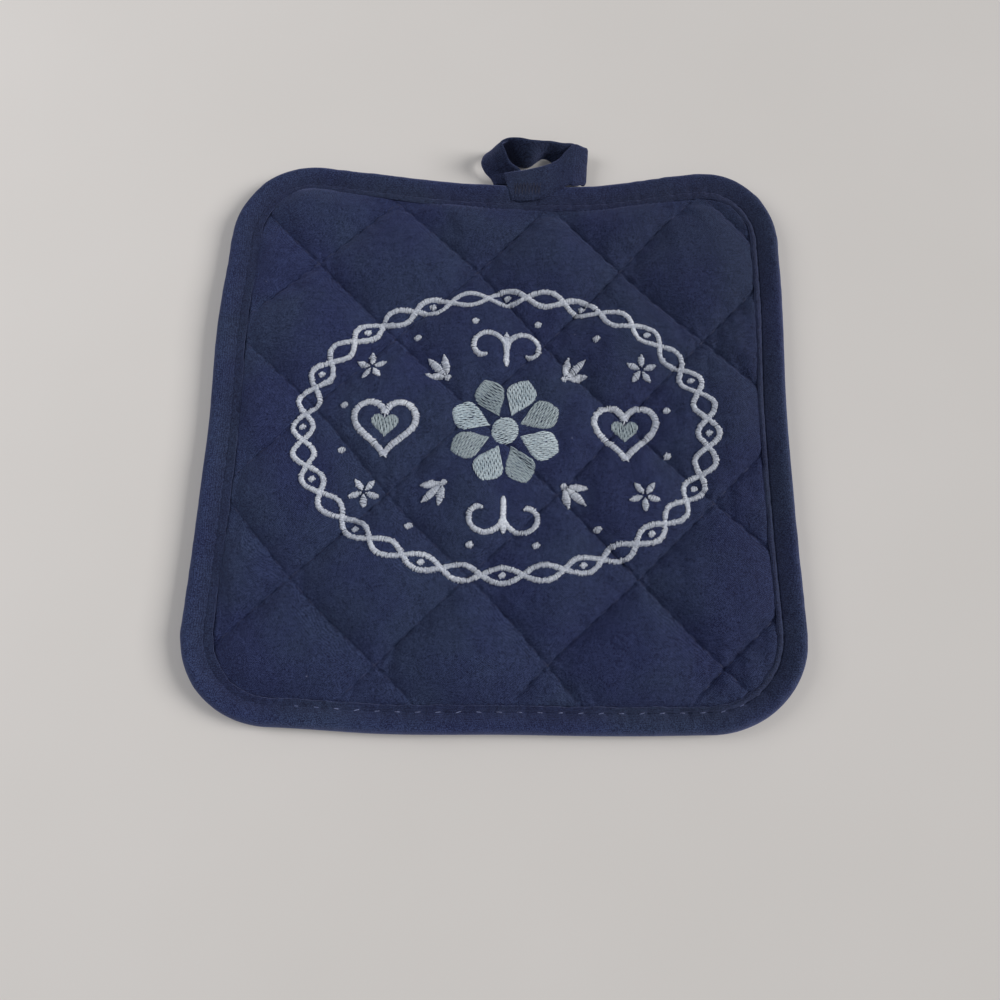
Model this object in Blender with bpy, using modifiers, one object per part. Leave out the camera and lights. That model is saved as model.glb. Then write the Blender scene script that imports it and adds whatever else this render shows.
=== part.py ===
"""Quilted square pot holder with a bound edge and a folded hanging loop.

The pot holder lies flat, face up. +X is to the right of its face, +Y runs towards the edge that
carries the loop, and +Z is up. The origin is under the middle of the whole, at the surface it lies on.
Lengths in the tables are millimetres, measured from the middle of the padded square; everything is
moved by FRAME_SHIFT and scaled to metres when a mesh is made.
"""

import math

import bmesh
import bpy
import numpy as np

MM = 0.001

# ---------------------------------------------------------------- driving dimensions, millimetres
HALF_WIDTH = 95.0
HALF_HEIGHT = 95.9
FRAME_SHIFT = (0.2, -3.85)

# Corner radii of the bound edge, anticlockwise from the right foot.
CORNER_RADIUS = {"right_foot": 30.2, "right_top": 28.2, "left_top": 33.4, "left_foot": 29.4}

# How far each side bows inward at its middle, and how much further in it lies at its far (+) end.
SIDE_BOW = {"right": 1.4, "top": 7.6, "left": 0.8, "foot": -1.1}
SIDE_LEAN = {"right": -0.2, "top": 0.9, "left": 0.2, "foot": 0.7}

# Outward wander of the bound edge at equal steps round the rim, anticlockwise from the right foot.
RIM_WANDER = (0.2, -0.1, -0.2, 0.4, -0.4, 0.6, -1.2, -0.1, 0.1, 0.1,
              -0.8, 0.7, -0.2, -0.1, 0.2, -0.6, 0.3, -0.2, 0.1, -0.2)

# Quilting. Each row is one stitched line: its number in its family, then its distance across the
# family at five stations along it. "fall" lines run down to the right and are measured along
# (1, 1); "rise" lines run up to the right and are measured along (1, -1).
LINE_STATIONS = (-90.0, -45.0, 0.0, 45.0, 90.0)
FALL_LINES = (
    (-2, -117.0, -117.0, -117.0, -117.0, -117.0),
    (-1, -79.0, -79.3, -81.5, -79.2, -79.0),
    (0, -41.8, -39.6, -42.3, -41.6, -44.8),
    (1, -4.5, -4.4, -3.4, -3.9, -5.3),
    (2, 30.2, 32.2, 28.9, 29.3, 31.5),
    (3, 68.2, 67.6, 67.0, 69.3, 69.3),
    (4, 107.5, 107.5, 108.8, 103.0, 100.0),
    (5, 145.0, 145.0, 145.0, 142.0, 140.0),
)
RISE_LINES = (
    (-2, -122.0, -122.0, -122.0, -121.0, -121.0),
    (-1, -87.0, -86.3, -83.9, -82.8, -82.8),
    (0, -45.5, -45.6, -44.8, -44.2, -47.5),
    (1, -8.3, -7.2, -8.8, -9.3, -12.5),
    (2, 29.7, 29.5, 30.2, 27.2, 25.8),
    (3, 67.0, 65.6, 66.7, 66.0, 65.5),
    (4, 103.0, 103.0, 103.0, 104.0, 104.0),
    (5, 140.0, 140.0, 140.0, 140.0, 140.0),
)

CHANNEL_Z = 4.1            # height of the face in a quilting channel
CROWN = 3.2                # height of a full puff above its channels
PUFF_POWER = 0.5           # below 1, a puff rises steeply beside its stitches
CENTRE_FLATTENING = 0.28   # share of the crown lost where the decorated middle is stitched flat
CENTRE_REACH = (58.0, 40.0)
EDGE_RISE_START = 8.5      # distance from the bound edge where the puffs start to rise
EDGE_RISE_LENGTH = 12.0
UNDER_CHANNEL = 0.9        # depth of the channels in the underside
UNDER_CHANNEL_SLOPE = 1.6

TONGUE_INSET = 3.0         # the pad's flattened margin reaches this close to the bound edge
TONGUE_BOTTOM = 1.6
TONGUE_TOP = 3.1
CORE_INSET = 9.65          # the full pad starts this far in, clear of the binding's folded edge

FACE_CELLS = 16            # mesh steps across one diamond, corner to corner, on the face
UNDER_CELLS = 8
RELIEF_COLUMNS = (-0.75, 3.15)   # reach of the relief's grid, in diamonds, left to right
RELIEF_ROWS = (-2.0, 1.9)        # and foot to top
RELIEF_MARGIN = 2.0        # how far the flat back of a relief block stands off the pad
SLAB_MARGIN = 1.0          # how far the uncut slab stands proud of both quilted faces

OUTLINE_SAMPLES = 720      # points of the bound edge used to measure distances from it
NORMAL_REACH = 0.5         # half the stretch of edge that sets the direction outward
LATTICE_ROUNDS = 5         # rounds of settling where two curved lines cross
WELD_DISTANCE = 1e-6       # metres

# Binding: outer side of its U section, as (distance in from the bound edge, height).
BINDING_THICKNESS = 1.2
BINDING_SECTION = (
    (9.2, 5.25), (8.2, 5.6), (7.0, 5.12), (5.2, 5.75), (3.0, 5.85),
    (1.0, 4.9), (0.0, 3.0), (0.7, 1.1), (2.4, 0.0), (9.2, 0.0),
)
BINDING_SIDE_STEPS = 14
BINDING_CORNER_STEPS = 13
TACK_PLACE = (8.0, 87.0)   # middle of the bar tack
TACK_REACH = 12.0
TACK_SQUEEZE = 0.5         # how far the tack pulls the binding's top down

# Hanging loop: a folded tape. Each row is one place along it, from the end sewn into the edge,
# round the open bend at the left, back along the far side, through the crease at the right and
# down to the end tacked over the binding. Lower and upper edge of the tape: x, y, z.
TAPE_THICKNESS = 1.2
TAPE_STEPS = 3
TAPE_WIDTH_STEPS = 3
TAPE_ROWS = (
    # place             lower edge            upper edge
    ("sewn_end",        (-3.8, 89.3, 2.8),    (8.0, 89.3, 3.0)),
    ("leaves_edge",     (-4.8, 91.8, 2.3),    (5.9, 93.9, 4.6)),
    ("near_bend",       (-7.2, 94.9, 2.2),    (2.2, 94.3, 8.4)),
    ("bend",            (-8.4, 98.4, 2.3),    (0.1, 97.1, 11.0)),
    ("far_bend",        (-6.6, 102.4, 1.6),   (-0.9, 100.4, 11.0)),
    ("far_corner",      (-2.4, 104.4, 1.0),   (1.4, 101.8, 11.2)),
    ("far_left",        (3.0, 101.6, 0.8),    (5.2, 102.0, 11.4)),
    ("far_dip",         (8.3, 99.4, 0.8),     (9.6, 101.3, 11.2)),
    ("far_peak",        (13.4, 101.6, 0.8),   (14.8, 102.5, 9.2)),
    ("far_turn",        (17.6, 99.6, 0.8),    (20.3, 103.5, 7.2)),
    ("far_right",       (22.8, 95.6, 0.9),    (24.4, 104.4, 5.7)),
    ("crease_under",    (27.3, 91.0, 1.0),    (27.8, 103.4, 3.8)),
    ("crease",          (28.5, 90.3, 2.1),    (28.9, 103.2, 4.9)),
    ("crease_over",     (27.3, 89.6, 3.3),    (27.7, 102.8, 6.1)),
    ("near_right",      (24.4, 88.2, 5.9),    (24.3, 102.6, 6.9)),
    ("near_rise",       (22.4, 87.0, 6.4),    (21.6, 100.2, 6.8)),
    ("near_middle",     (20.3, 85.9, 6.7),    (18.6, 97.0, 6.3)),
    ("tack_right",      (14.2, 82.7, 6.6),    (13.9, 94.5, 6.6)),
    ("tack_middle",     (7.9, 81.3, 6.5),     (8.2, 93.1, 6.8)),
    ("tacked_end",      (1.8, 81.2, 6.5),     (2.6, 92.6, 6.8)),
)

# Diffuse colours of the cloth.
NAVY = (0.021, 0.027, 0.072, 1.0)
BINDING_NAVY = (0.026, 0.034, 0.083, 1.0)
CLOTH_ROUGHNESS = 0.9


# ---------------------------------------------------------------- outline of the bound edge
def rim_stretches():
    """The plain rounded square as stretches, anticlockwise from the right foot corner's end."""
    foot_right = CORNER_RADIUS["right_foot"]
    top_right = CORNER_RADIUS["right_top"]
    top_left = CORNER_RADIUS["left_top"]
    foot_left = CORNER_RADIUS["left_foot"]
    quarter = math.pi / 2
    return (
        ("side", 2 * HALF_HEIGHT - foot_right - top_right, (HALF_WIDTH, foot_right - HALF_HEIGHT), (0, 1)),
        ("corner", quarter * top_right, (HALF_WIDTH - top_right, HALF_HEIGHT - top_right), (top_right, 0)),
        ("side", 2 * HALF_WIDTH - top_right - top_left, (HALF_WIDTH - top_right, HALF_HEIGHT), (-1, 0)),
        ("corner", quarter * top_left, (top_left - HALF_WIDTH, HALF_HEIGHT - top_left), (top_left, 1)),
        ("side", 2 * HALF_HEIGHT - top_left - foot_left, (-HALF_WIDTH, HALF_HEIGHT - top_left), (0, -1)),
        ("corner", quarter * foot_left, (foot_left - HALF_WIDTH, foot_left - HALF_HEIGHT), (foot_left, 2)),
        ("side", 2 * HALF_WIDTH - foot_left - foot_right, (foot_left - HALF_WIDTH, -HALF_HEIGHT), (1, 0)),
        ("corner", quarter * foot_right, (HALF_WIDTH - foot_right, foot_right - HALF_HEIGHT), (foot_right, 3)),
    )


def rim_length():
    """Length of the plain rounded square."""
    return sum(stretch[1] for stretch in rim_stretches())


def bell(place, reach):
    """1 in the middle of a side, falling smoothly to 0 at its ends."""
    return np.clip(1 - (place / reach) ** 2, 0, 1) ** 2


def plain_rim(travel):
    """Points of the plain rounded square at the given distances round it."""
    points = np.zeros((len(travel), 2))
    start = 0.0
    for kind, length, anchor, extra in rim_stretches():
        inside = (travel >= start) & (travel < start + length)
        step = travel[inside] - start
        if kind == "side":
            points[inside] = np.array(anchor) + step[:, None] * np.array(extra)
        else:
            radius, quadrant = extra
            angle = step / radius + quadrant * math.pi / 2
            points[inside] = np.array(anchor) + radius * np.stack([np.cos(angle), np.sin(angle)], 1)
        start += length
    return points


def wander(share):
    """Outward wander of the rim at shares of the way round, eased between the table's values."""
    values = np.array(RIM_WANDER)
    place = (share % 1.0) * len(values)
    low = np.floor(place).astype(int) % len(values)
    ease = place - np.floor(place)
    ease = ease * ease * (3 - 2 * ease)
    return values[low] * (1 - ease) + values[(low + 1) % len(values)] * ease


def bowed_rim(travel):
    """Rim points with the sides' bows and leans."""
    points = plain_rim(travel)
    x, y = points.T
    right = np.clip(x / HALF_WIDTH, 0, 1) ** 2
    left = np.clip(-x / HALF_WIDTH, 0, 1) ** 2
    top = np.clip(y / HALF_HEIGHT, 0, 1) ** 2
    foot = np.clip(-y / HALF_HEIGHT, 0, 1) ** 2
    along_x = x / HALF_WIDTH
    along_y = y / HALF_HEIGHT
    across = bell(x, HALF_WIDTH)
    upright = bell(y, HALF_HEIGHT)
    bowed = points.copy()
    bowed[:, 0] -= (SIDE_BOW["right"] * upright + SIDE_LEAN["right"] * along_y) * right
    bowed[:, 0] += (SIDE_BOW["left"] * upright + SIDE_LEAN["left"] * along_y) * left
    bowed[:, 1] -= (SIDE_BOW["top"] * across + SIDE_LEAN["top"] * along_x) * top
    bowed[:, 1] += (SIDE_BOW["foot"] * across + SIDE_LEAN["foot"] * along_x) * foot
    return bowed


def rim(share, inset=0.0):
    """Points of the bound edge at shares of the way round, moved inward by the inset."""
    total = rim_length()
    travel = (np.asarray(share, float) % 1.0) * total
    before = bowed_rim((travel - NORMAL_REACH) % total)
    after = bowed_rim((travel + NORMAL_REACH) % total)
    run = after - before
    outward = np.stack([run[:, 1], -run[:, 0]], 1) / np.linalg.norm(run, axis=1)[:, None]
    return bowed_rim(travel) + outward * (wander(travel / total) - inset)[:, None]


def rim_shares(side_steps, corner_steps):
    """Shares of the way round with their own spacing on sides and corners."""
    total = rim_length()
    shares = []
    start = 0.0
    for kind, length, _anchor, _extra in rim_stretches():
        steps = side_steps if kind == "side" else corner_steps
        shares.extend((start + length * k / steps) / total for k in range(steps))
        start += length
    return np.array(shares)


def edge_distance(x, y):
    """Distance inward from the bound edge for points given by two flat arrays."""
    edge = rim(np.linspace(0, 1, OUTLINE_SAMPLES, endpoint=False))
    distance = np.full(len(x), np.inf)
    for edge_x, edge_y in edge:
        distance = np.minimum(distance, np.hypot(x - edge_x, y - edge_y))
    return distance


# ---------------------------------------------------------------- quilting
def line_table(rows):
    """Line numbers and their distances at the stations."""
    numbers = np.array([row[0] for row in rows])
    distances = np.array([row[1:] for row in rows])
    return numbers, distances


def smooth_between(values, stations, place):
    """Cubic through the stations' values, flat beyond both ends; values has a row per place."""
    count = len(stations)
    step = stations[1] - stations[0]
    at = np.clip((place - stations[0]) / step, 0, count - 1 - 1e-9)
    low = at.astype(int)
    t = at - low
    rows = np.arange(len(place))
    slopes = np.gradient(values, axis=1)
    v0 = values[rows, low]
    v1 = values[rows, low + 1]
    m0 = slopes[rows, low]
    m1 = slopes[rows, low + 1]
    return ((2 * t ** 3 - 3 * t ** 2 + 1) * v0 + (t ** 3 - 2 * t ** 2 + t) * m0
            + (3 * t ** 2 - 2 * t ** 3) * v1 + (t ** 3 - t ** 2) * m1)


def across_family(rows, count, along):
    """Distance across a family of lines at a line count (with fractions) and a place along.

    Beyond the table's first and last lines the spacing goes on as between the last two.
    """
    numbers, distances = line_table(rows)
    at = count - numbers[0]
    low = np.clip(np.floor(at), 0, len(numbers) - 2).astype(int)
    part = (at - low)[:, None]
    blend = distances[low] * (1 - part) + distances[low + 1] * part
    return smooth_between(blend, LINE_STATIONS, along)


def lattice_points(fall_count, rise_count):
    """Plan positions of the given counts of lines in both families."""
    fall = across_family(FALL_LINES, fall_count, np.zeros(len(fall_count)))
    rise = across_family(RISE_LINES, rise_count, np.zeros(len(rise_count)))
    for _ in range(LATTICE_ROUNDS):
        fall, rise = (across_family(FALL_LINES, fall_count, rise),
                      across_family(RISE_LINES, rise_count, fall))
    return (fall + rise) / math.sqrt(2), (fall - rise) / math.sqrt(2)


def puff_share(fall_count, rise_count):
    """0 on the stitched lines and 1 in the middle of a diamond."""
    bumps = np.abs(np.sin(math.pi * fall_count) * np.sin(math.pi * rise_count))
    return bumps ** PUFF_POWER


def face_height(x, y, puff):
    """Height of the quilted face."""
    rise = np.clip((edge_distance(x, y) - EDGE_RISE_START) / EDGE_RISE_LENGTH, 0, 1)
    edge = np.sqrt(1 - (1 - rise) ** 2)
    middle = np.exp(-(x / CENTRE_REACH[0]) ** 2 - (y / CENTRE_REACH[1]) ** 2)
    return CHANNEL_Z + CROWN * (1 - CENTRE_FLATTENING * middle) * edge * puff


def under_height(_x, _y, puff):
    """Height of the underside: flat where it rests, with shallow channels."""
    return np.maximum(0.0, UNDER_CHANNEL - UNDER_CHANNEL_SLOPE * puff)


# ---------------------------------------------------------------- making objects
def clear_scene():
    for item in list(bpy.data.objects):
        bpy.data.objects.remove(item, do_unlink=True)


def new_collection(name):
    collection = bpy.data.collections.new(name)
    bpy.context.scene.collection.children.link(collection)
    return collection


def cloth_material(name, colour):
    material = bpy.data.materials.new(name)
    material.use_nodes = True
    shader = material.node_tree.nodes["Principled BSDF"]
    shader.inputs["Base Color"].default_value = colour
    shader.inputs["Roughness"].default_value = CLOTH_ROUGHNESS
    shader.inputs["Metallic"].default_value = 0.0
    material.diffuse_color = colour
    return material


def place(x, y, z):
    """A point of the tables, moved to the frame and in metres."""
    return ((x + FRAME_SHIFT[0]) * MM, (y + FRAME_SHIFT[1]) * MM, z * MM)


def object_from_bmesh(name, shape, collection):
    mesh = bpy.data.meshes.new(name)
    shape.to_mesh(mesh)
    shape.free()
    item = bpy.data.objects.new(name, mesh)
    collection.objects.link(item)
    return item


def mark_cutter(item):
    item.hide_render = True
    item.display_type = "WIRE"


def outline_slab(name, inset, bottom, top, collection):
    """The pad's outline, moved inward and extruded between two heights."""
    curve = bpy.data.curves.new(name, "CURVE")
    curve.dimensions = "2D"
    curve.fill_mode = "BOTH"
    curve.extrude = (top - bottom) / 2 * MM
    shares = rim_shares(BINDING_SIDE_STEPS, BINDING_CORNER_STEPS)
    points = rim(shares, np.full(len(shares), inset))
    spline = curve.splines.new("POLY")
    spline.points.add(len(points) - 1)
    for target, (x, y) in zip(spline.points, points):
        target.co = (*place(x, y, 0)[:2], 0, 1)
    spline.use_cyclic_u = True
    guide = bpy.data.objects.new(name + "_outline", curve)
    guide.location = (0, 0, (top + bottom) / 2 * MM)
    collection.objects.link(guide)
    bpy.context.view_layer.update()
    evaluated = guide.evaluated_get(bpy.context.evaluated_depsgraph_get())
    mesh = bpy.data.meshes.new_from_object(evaluated)
    shape = bmesh.new()
    shape.from_mesh(mesh)
    bmesh.ops.remove_doubles(shape, verts=shape.verts, dist=WELD_DISTANCE)
    bmesh.ops.recalc_face_normals(shape, faces=shape.faces)
    shape.to_mesh(mesh)
    shape.free()
    slab = bpy.data.objects.new(name, mesh)
    slab.matrix_world = guide.matrix_world
    collection.objects.link(slab)
    bpy.data.objects.remove(guide, do_unlink=True)
    return slab


def relief_block(name, cells, height, base_z, collection):
    """A block whose one side is the quilted relief and whose other side is flat at base_z.

    The grid follows the stitched lines: both families run along the diagonals of its squares.
    """
    columns = np.arange(round(RELIEF_COLUMNS[0] * cells), round(RELIEF_COLUMNS[1] * cells) + 1)
    rows = np.arange(round(RELIEF_ROWS[0] * cells), round(RELIEF_ROWS[1] * cells) + 1)
    i, j = np.meshgrid(columns, rows, indexing="ij")
    fall_count = ((i + j) / cells).ravel()
    rise_count = ((i - j) / cells).ravel()
    x, y = lattice_points(fall_count, rise_count)
    z = height(x, y, puff_share(fall_count, rise_count))
    shape = bmesh.new()
    bmesh.ops.create_grid(shape, x_segments=len(columns) - 1, y_segments=len(rows) - 1, size=1.0)
    grid_place = {}
    for vertex in shape.verts:
        column = round((vertex.co.x + 1) / 2 * (len(columns) - 1))
        row = round((vertex.co.y + 1) / 2 * (len(rows) - 1))
        at = column * len(rows) + row
        vertex.co = place(x[at], y[at], z[at])
        grid_place[vertex] = (columns[column], rows[row])
    for face in list(shape.faces):
        split_beside_line(face, grid_place, cells)
    rim_edges = [edge for edge in shape.edges if edge.is_boundary]
    skirt = bmesh.ops.extrude_edge_only(shape, edges=rim_edges)["geom"]
    foot = [item for item in skirt if isinstance(item, bmesh.types.BMVert)]
    for vertex in foot:
        vertex.co.z = base_z * MM
    foot_edges = [item for item in skirt if isinstance(item, bmesh.types.BMEdge) and item.is_boundary]
    bmesh.ops.edgeloop_fill(shape, edges=foot_edges)
    bmesh.ops.recalc_face_normals(shape, faces=shape.faces)
    block = object_from_bmesh(name, shape, collection)
    mark_cutter(block)
    return block


def split_beside_line(face, grid_place, cells):
    """Split a square of the relief along the diagonal that runs beside its nearer stitched line."""
    corners = {grid_place[vertex]: vertex for vertex in face.verts}
    column, row = min(corners)
    fall_count = (column + row + 1) / cells
    rise_count = (column - row) / cells
    if abs(fall_count - round(fall_count)) < abs(rise_count - round(rise_count)):
        bmesh.utils.face_split(face, corners[column + 1, row], corners[column, row + 1])
    else:
        bmesh.utils.face_split(face, corners[column, row], corners[column + 1, row + 1])


def boolean(item, cutter, operation):
    step = item.modifiers.new(operation.lower() + "_" + cutter.name, "BOOLEAN")
    step.object = cutter
    step.operation = operation
    step.solver = "EXACT"


def sheet_with_thickness(name, sections, closed, thickness, collection):
    """A sheet lofted through its sections, a list of equal rows of points, then made solid."""
    shape = bmesh.new()
    rows = [[shape.verts.new(place(*point)) for point in section] for section in sections]
    count = len(rows)
    for k in range(count if closed else count - 1):
        here = rows[k]
        after = rows[(k + 1) % count]
        for m in range(len(here) - 1):
            shape.faces.new((here[m], here[m + 1], after[m + 1], after[m]))
    sheet = object_from_bmesh(name, shape, collection)
    solid = sheet.modifiers.new("cloth_thickness", "SOLIDIFY")
    solid.thickness = thickness * MM
    solid.use_even_offset = True
    return sheet


# ---------------------------------------------------------------- the pieces
def build_quilted_pad(parts, cutters):
    """Two faces and their wadding, quilted: the full pad inside the binding and its thin margin."""
    slab_top = CHANNEL_Z + CROWN + SLAB_MARGIN
    pad = outline_slab("quilted_pad", CORE_INSET, -SLAB_MARGIN, slab_top, parts)
    face = relief_block("face_relief", FACE_CELLS, face_height, -SLAB_MARGIN - RELIEF_MARGIN, cutters)
    under = relief_block("under_relief", UNDER_CELLS, under_height, slab_top + RELIEF_MARGIN, cutters)
    tongue = outline_slab("margin", TONGUE_INSET, TONGUE_BOTTOM, TONGUE_TOP, cutters)
    mark_cutter(tongue)
    boolean(pad, face, "INTERSECT")
    boolean(pad, under, "INTERSECT")
    boolean(pad, tongue, "UNION")
    pad.data.materials.append(cloth_material("navy_face_cloth", NAVY))
    return pad


def build_binding(parts):
    """One strip of cloth folded over the edge: a ring of U section, drawn down at the tack."""
    shares = rim_shares(BINDING_SIDE_STEPS, BINDING_CORNER_STEPS)
    rows = np.stack([rim(shares, np.full(len(shares), inset)) for inset, _z in BINDING_SECTION], 1)
    heights = np.array([z for _inset, z in BINDING_SECTION])
    sections = []
    for row in rows:
        away = np.hypot(row[:, 0] - TACK_PLACE[0], row[:, 1] - TACK_PLACE[1])
        squeeze = TACK_SQUEEZE * bell(away, TACK_REACH) * heights / heights.max()
        sections.append([(x, y, z) for (x, y), z in zip(row, heights - squeeze)])
    binding = sheet_with_thickness("binding", sections, True, BINDING_THICKNESS, parts)
    binding.data.shade_smooth()
    binding.data.materials.append(cloth_material("navy_binding_cloth", BINDING_NAVY))
    return binding


def eased(points, steps):
    """A smooth curve through the points, with the given steps between each two."""
    points = np.array(points, float)
    before = np.vstack([2 * points[0] - points[1], points[:-1]])
    after = np.vstack([points[1:], 2 * points[-1] - points[-2]])
    slope = (after - before) / 2
    curve = []
    for k in range(len(points) - 1):
        for m in range(steps):
            t = m / steps
            curve.append((2 * t ** 3 - 3 * t ** 2 + 1) * points[k]
                         + (t ** 3 - 2 * t ** 2 + t) * slope[k]
                         + (3 * t ** 2 - 2 * t ** 3) * points[k + 1]
                         + (t ** 3 - t ** 2) * slope[k + 1])
    curve.append(points[-1])
    return np.array(curve)


def build_hanging_loop(parts):
    """A folded tape bent into a loop: open and round at the left, creased flat at the right."""
    lower = eased([row[1] for row in TAPE_ROWS], TAPE_STEPS)
    upper = eased([row[2] for row in TAPE_ROWS], TAPE_STEPS)
    sections = []
    for foot, head in zip(lower, upper):
        shares = np.linspace(0, 1, TAPE_WIDTH_STEPS + 1)
        sections.append([tuple(foot * (1 - share) + head * share) for share in shares])
    loop = sheet_with_thickness("hanging_loop", sections, False, TAPE_THICKNESS, parts)
    loop.modifiers["cloth_thickness"].offset = 0.0
    loop.data.shade_smooth()
    loop.data.materials.append(cloth_material("navy_tape_cloth", BINDING_NAVY))
    return loop


def main():
    clear_scene()
    parts = new_collection("pot_holder")
    cutters = new_collection("cutters")
    build_quilted_pad(parts, cutters)
    build_binding(parts)
    build_hanging_loop(parts)


main()
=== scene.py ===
"""The pot holder as it looks: quilted navy face, bound edge, folded loop, sewing and embroidery.

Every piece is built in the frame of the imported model. Tables are in millimetres, measured from the
middle of the padded square as in the model's own source; FRAME_SHIFT moves them to the frame and MM
turns them into metres. Values given side by side are in the order right, top, left, foot.
"""

import math
from collections import namedtuple

import bmesh
import bpy
import numpy as np
from mathutils import Matrix, Vector
from mathutils.bvhtree import BVHTree


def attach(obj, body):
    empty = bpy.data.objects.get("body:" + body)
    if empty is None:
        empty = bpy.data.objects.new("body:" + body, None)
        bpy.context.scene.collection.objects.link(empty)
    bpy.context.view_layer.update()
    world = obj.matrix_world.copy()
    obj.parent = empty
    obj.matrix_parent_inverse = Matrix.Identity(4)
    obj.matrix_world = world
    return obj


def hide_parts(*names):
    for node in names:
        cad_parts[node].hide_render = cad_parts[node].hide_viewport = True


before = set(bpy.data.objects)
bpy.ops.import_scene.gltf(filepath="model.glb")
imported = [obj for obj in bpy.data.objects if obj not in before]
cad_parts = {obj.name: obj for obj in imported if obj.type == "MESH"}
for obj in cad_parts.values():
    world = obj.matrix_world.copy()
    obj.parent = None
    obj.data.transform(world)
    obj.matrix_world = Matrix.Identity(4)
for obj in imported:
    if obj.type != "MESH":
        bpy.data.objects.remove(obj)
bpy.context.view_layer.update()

MM = 0.001
FRAME_SHIFT = np.array([0.2, -3.85, 0.0])
FULL_TURN = 2 * math.pi
BOTH = (-1, 1)


# ---------------- helpers
def bell(place, reach):
    """1 in the middle, falling smoothly to 0 at the reach."""
    return np.clip(1 - (place / reach) ** 2, 0, 1) ** 2


def hump(place, reach):
    """1 in the middle, falling smoothly to a third at the reach and on towards 0."""
    return np.exp(-(place / reach) ** 2)


def arch(share, power):
    """0 at both ends of a stitch and 1 in its middle, the flatter the higher the power."""
    return 1 - (2 * share - 1) ** power


def smooth(t):
    return t * t * (3 - 2 * t)


def hermite(t, start, start_slope, end, end_slope):
    """The cubic that passes from start to end as t passes from 0 to 1."""
    return ((2 * t ** 3 - 3 * t ** 2 + 1) * start + (t ** 3 - 2 * t ** 2 + t) * start_slope
            + (3 * t ** 2 - 2 * t ** 3) * end + (t ** 3 - t ** 2) * end_slope)


def unit(vectors):
    return vectors / np.maximum(np.linalg.norm(vectors, axis=-1, keepdims=True), 1e-9)


def direction(angle):
    return np.stack([np.cos(angle), np.sin(angle)], -1)


def rotated(points, angle):
    """Plan points turned round the origin."""
    x, y = points[..., 0], points[..., 1]
    cos, sin = math.cos(angle), math.sin(angle)
    return np.stack([x * cos - y * sin, x * sin + y * cos], -1)


def travelled(path):
    """Distance along a path from its start to each of its points."""
    return np.concatenate([[0], np.cumsum(np.linalg.norm(np.diff(path, axis=0), axis=1))])


def resample(path, step):
    """Points at equal steps of about the given length along a path."""
    travel = travelled(path)
    count = max(int(round(travel[-1] / step)), 1)
    places = np.linspace(0, travel[-1], count + 1)
    return np.stack([np.interp(places, travel, column) for column in path.T], 1)


def eased(points, steps):
    """A smooth curve through the points, with the given steps between each two."""
    points = np.array(points, float)
    before = np.vstack([2 * points[0] - points[1], points[:-1]])
    after = np.vstack([points[1:], 2 * points[-1] - points[-2]])
    slope = (after - before) / 2
    t = np.arange(steps)[:, None] / steps
    curve = [hermite(t, points[k], slope[k], points[k + 1], slope[k + 1])
             for k in range(len(points) - 1)]
    return np.vstack(curve + [points[-1:]])


NOISE_CELLS = 128


def noise(x, y, cell, seed):
    """Smooth random field from -1 to 1 whose features are about one cell across."""
    table = np.random.default_rng(seed).uniform(-1, 1, (NOISE_CELLS, NOISE_CELLS))
    place_x, place_y = x / cell, y / cell
    i, j = np.floor(place_x).astype(int), np.floor(place_y).astype(int)
    u, v = smooth(place_x - i), smooth(place_y - j)
    i0, i1 = i % NOISE_CELLS, (i + 1) % NOISE_CELLS
    j0, j1 = j % NOISE_CELLS, (j + 1) % NOISE_CELLS
    return ((table[i0, j0] * (1 - u) + table[i1, j0] * u) * (1 - v)
            + (table[i0, j1] * (1 - u) + table[i1, j1] * u) * v)


def add_object(name, data):
    item = bpy.data.objects.new(name, data)
    bpy.context.scene.collection.objects.link(item)
    return item


def mesh_object(name, points, faces):
    """A smooth-shaded object from points in millimetres of the tables."""
    mesh = bpy.data.meshes.new(name)
    placed = (np.asarray(points, float) + FRAME_SHIFT) * MM
    faces = np.asarray(faces, int)
    corners = faces.shape[1]
    mesh.vertices.add(len(placed))
    mesh.vertices.foreach_set("co", placed.ravel())
    mesh.loops.add(faces.size)
    mesh.loops.foreach_set("vertex_index", faces.ravel())
    mesh.polygons.add(len(faces))
    mesh.polygons.foreach_set("loop_start", np.arange(len(faces)) * corners)
    mesh.polygons.foreach_set("loop_total", np.full(len(faces), corners))
    mesh.update(calc_edges=True)
    mesh.validate()
    mesh.shade_smooth()
    return add_object(name, mesh)


def grid_faces(rows, columns, wrap_rows=False, wrap_columns=False):
    """Quads of a grid whose points run row by row."""
    i = np.arange(rows if wrap_rows else rows - 1)
    j = np.arange(columns if wrap_columns else columns - 1)
    i, j = (a.ravel() for a in np.meshgrid(i, j, indexing="ij"))
    i1, j1 = (i + 1) % rows, (j + 1) % columns
    return np.stack([i * columns + j, i1 * columns + j, i1 * columns + j1, i * columns + j1], 1)


def surface_tree(points, faces):
    return BVHTree.FromPolygons([tuple(point) for point in points], [tuple(face) for face in faces])


def heights_on(tree, plan, default):
    """Height of the highest surface at each plan point."""
    found = np.full(len(plan), float(default))
    for k, (x, y) in enumerate(plan):
        place = tree.ray_cast(Vector((x, y, 30.0)), Vector((0, 0, -1)))[0]
        if place is not None:
            found[k] = place.z
    return found


# ---------------- camera
FOCAL = 0.780  # focal length as a share of the picture's side
SENSOR_MM = 36.0
VIEW_ELEVATION = math.radians(75.653)
VIEW_AZIMUTH = math.radians(1.706)
VIEW_ROLL = math.radians(-0.531)
VIEW_DISTANCE = 0.24668  # metres
VIEW_TARGET = (0.88367, -25.5755, 3.0)


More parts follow.
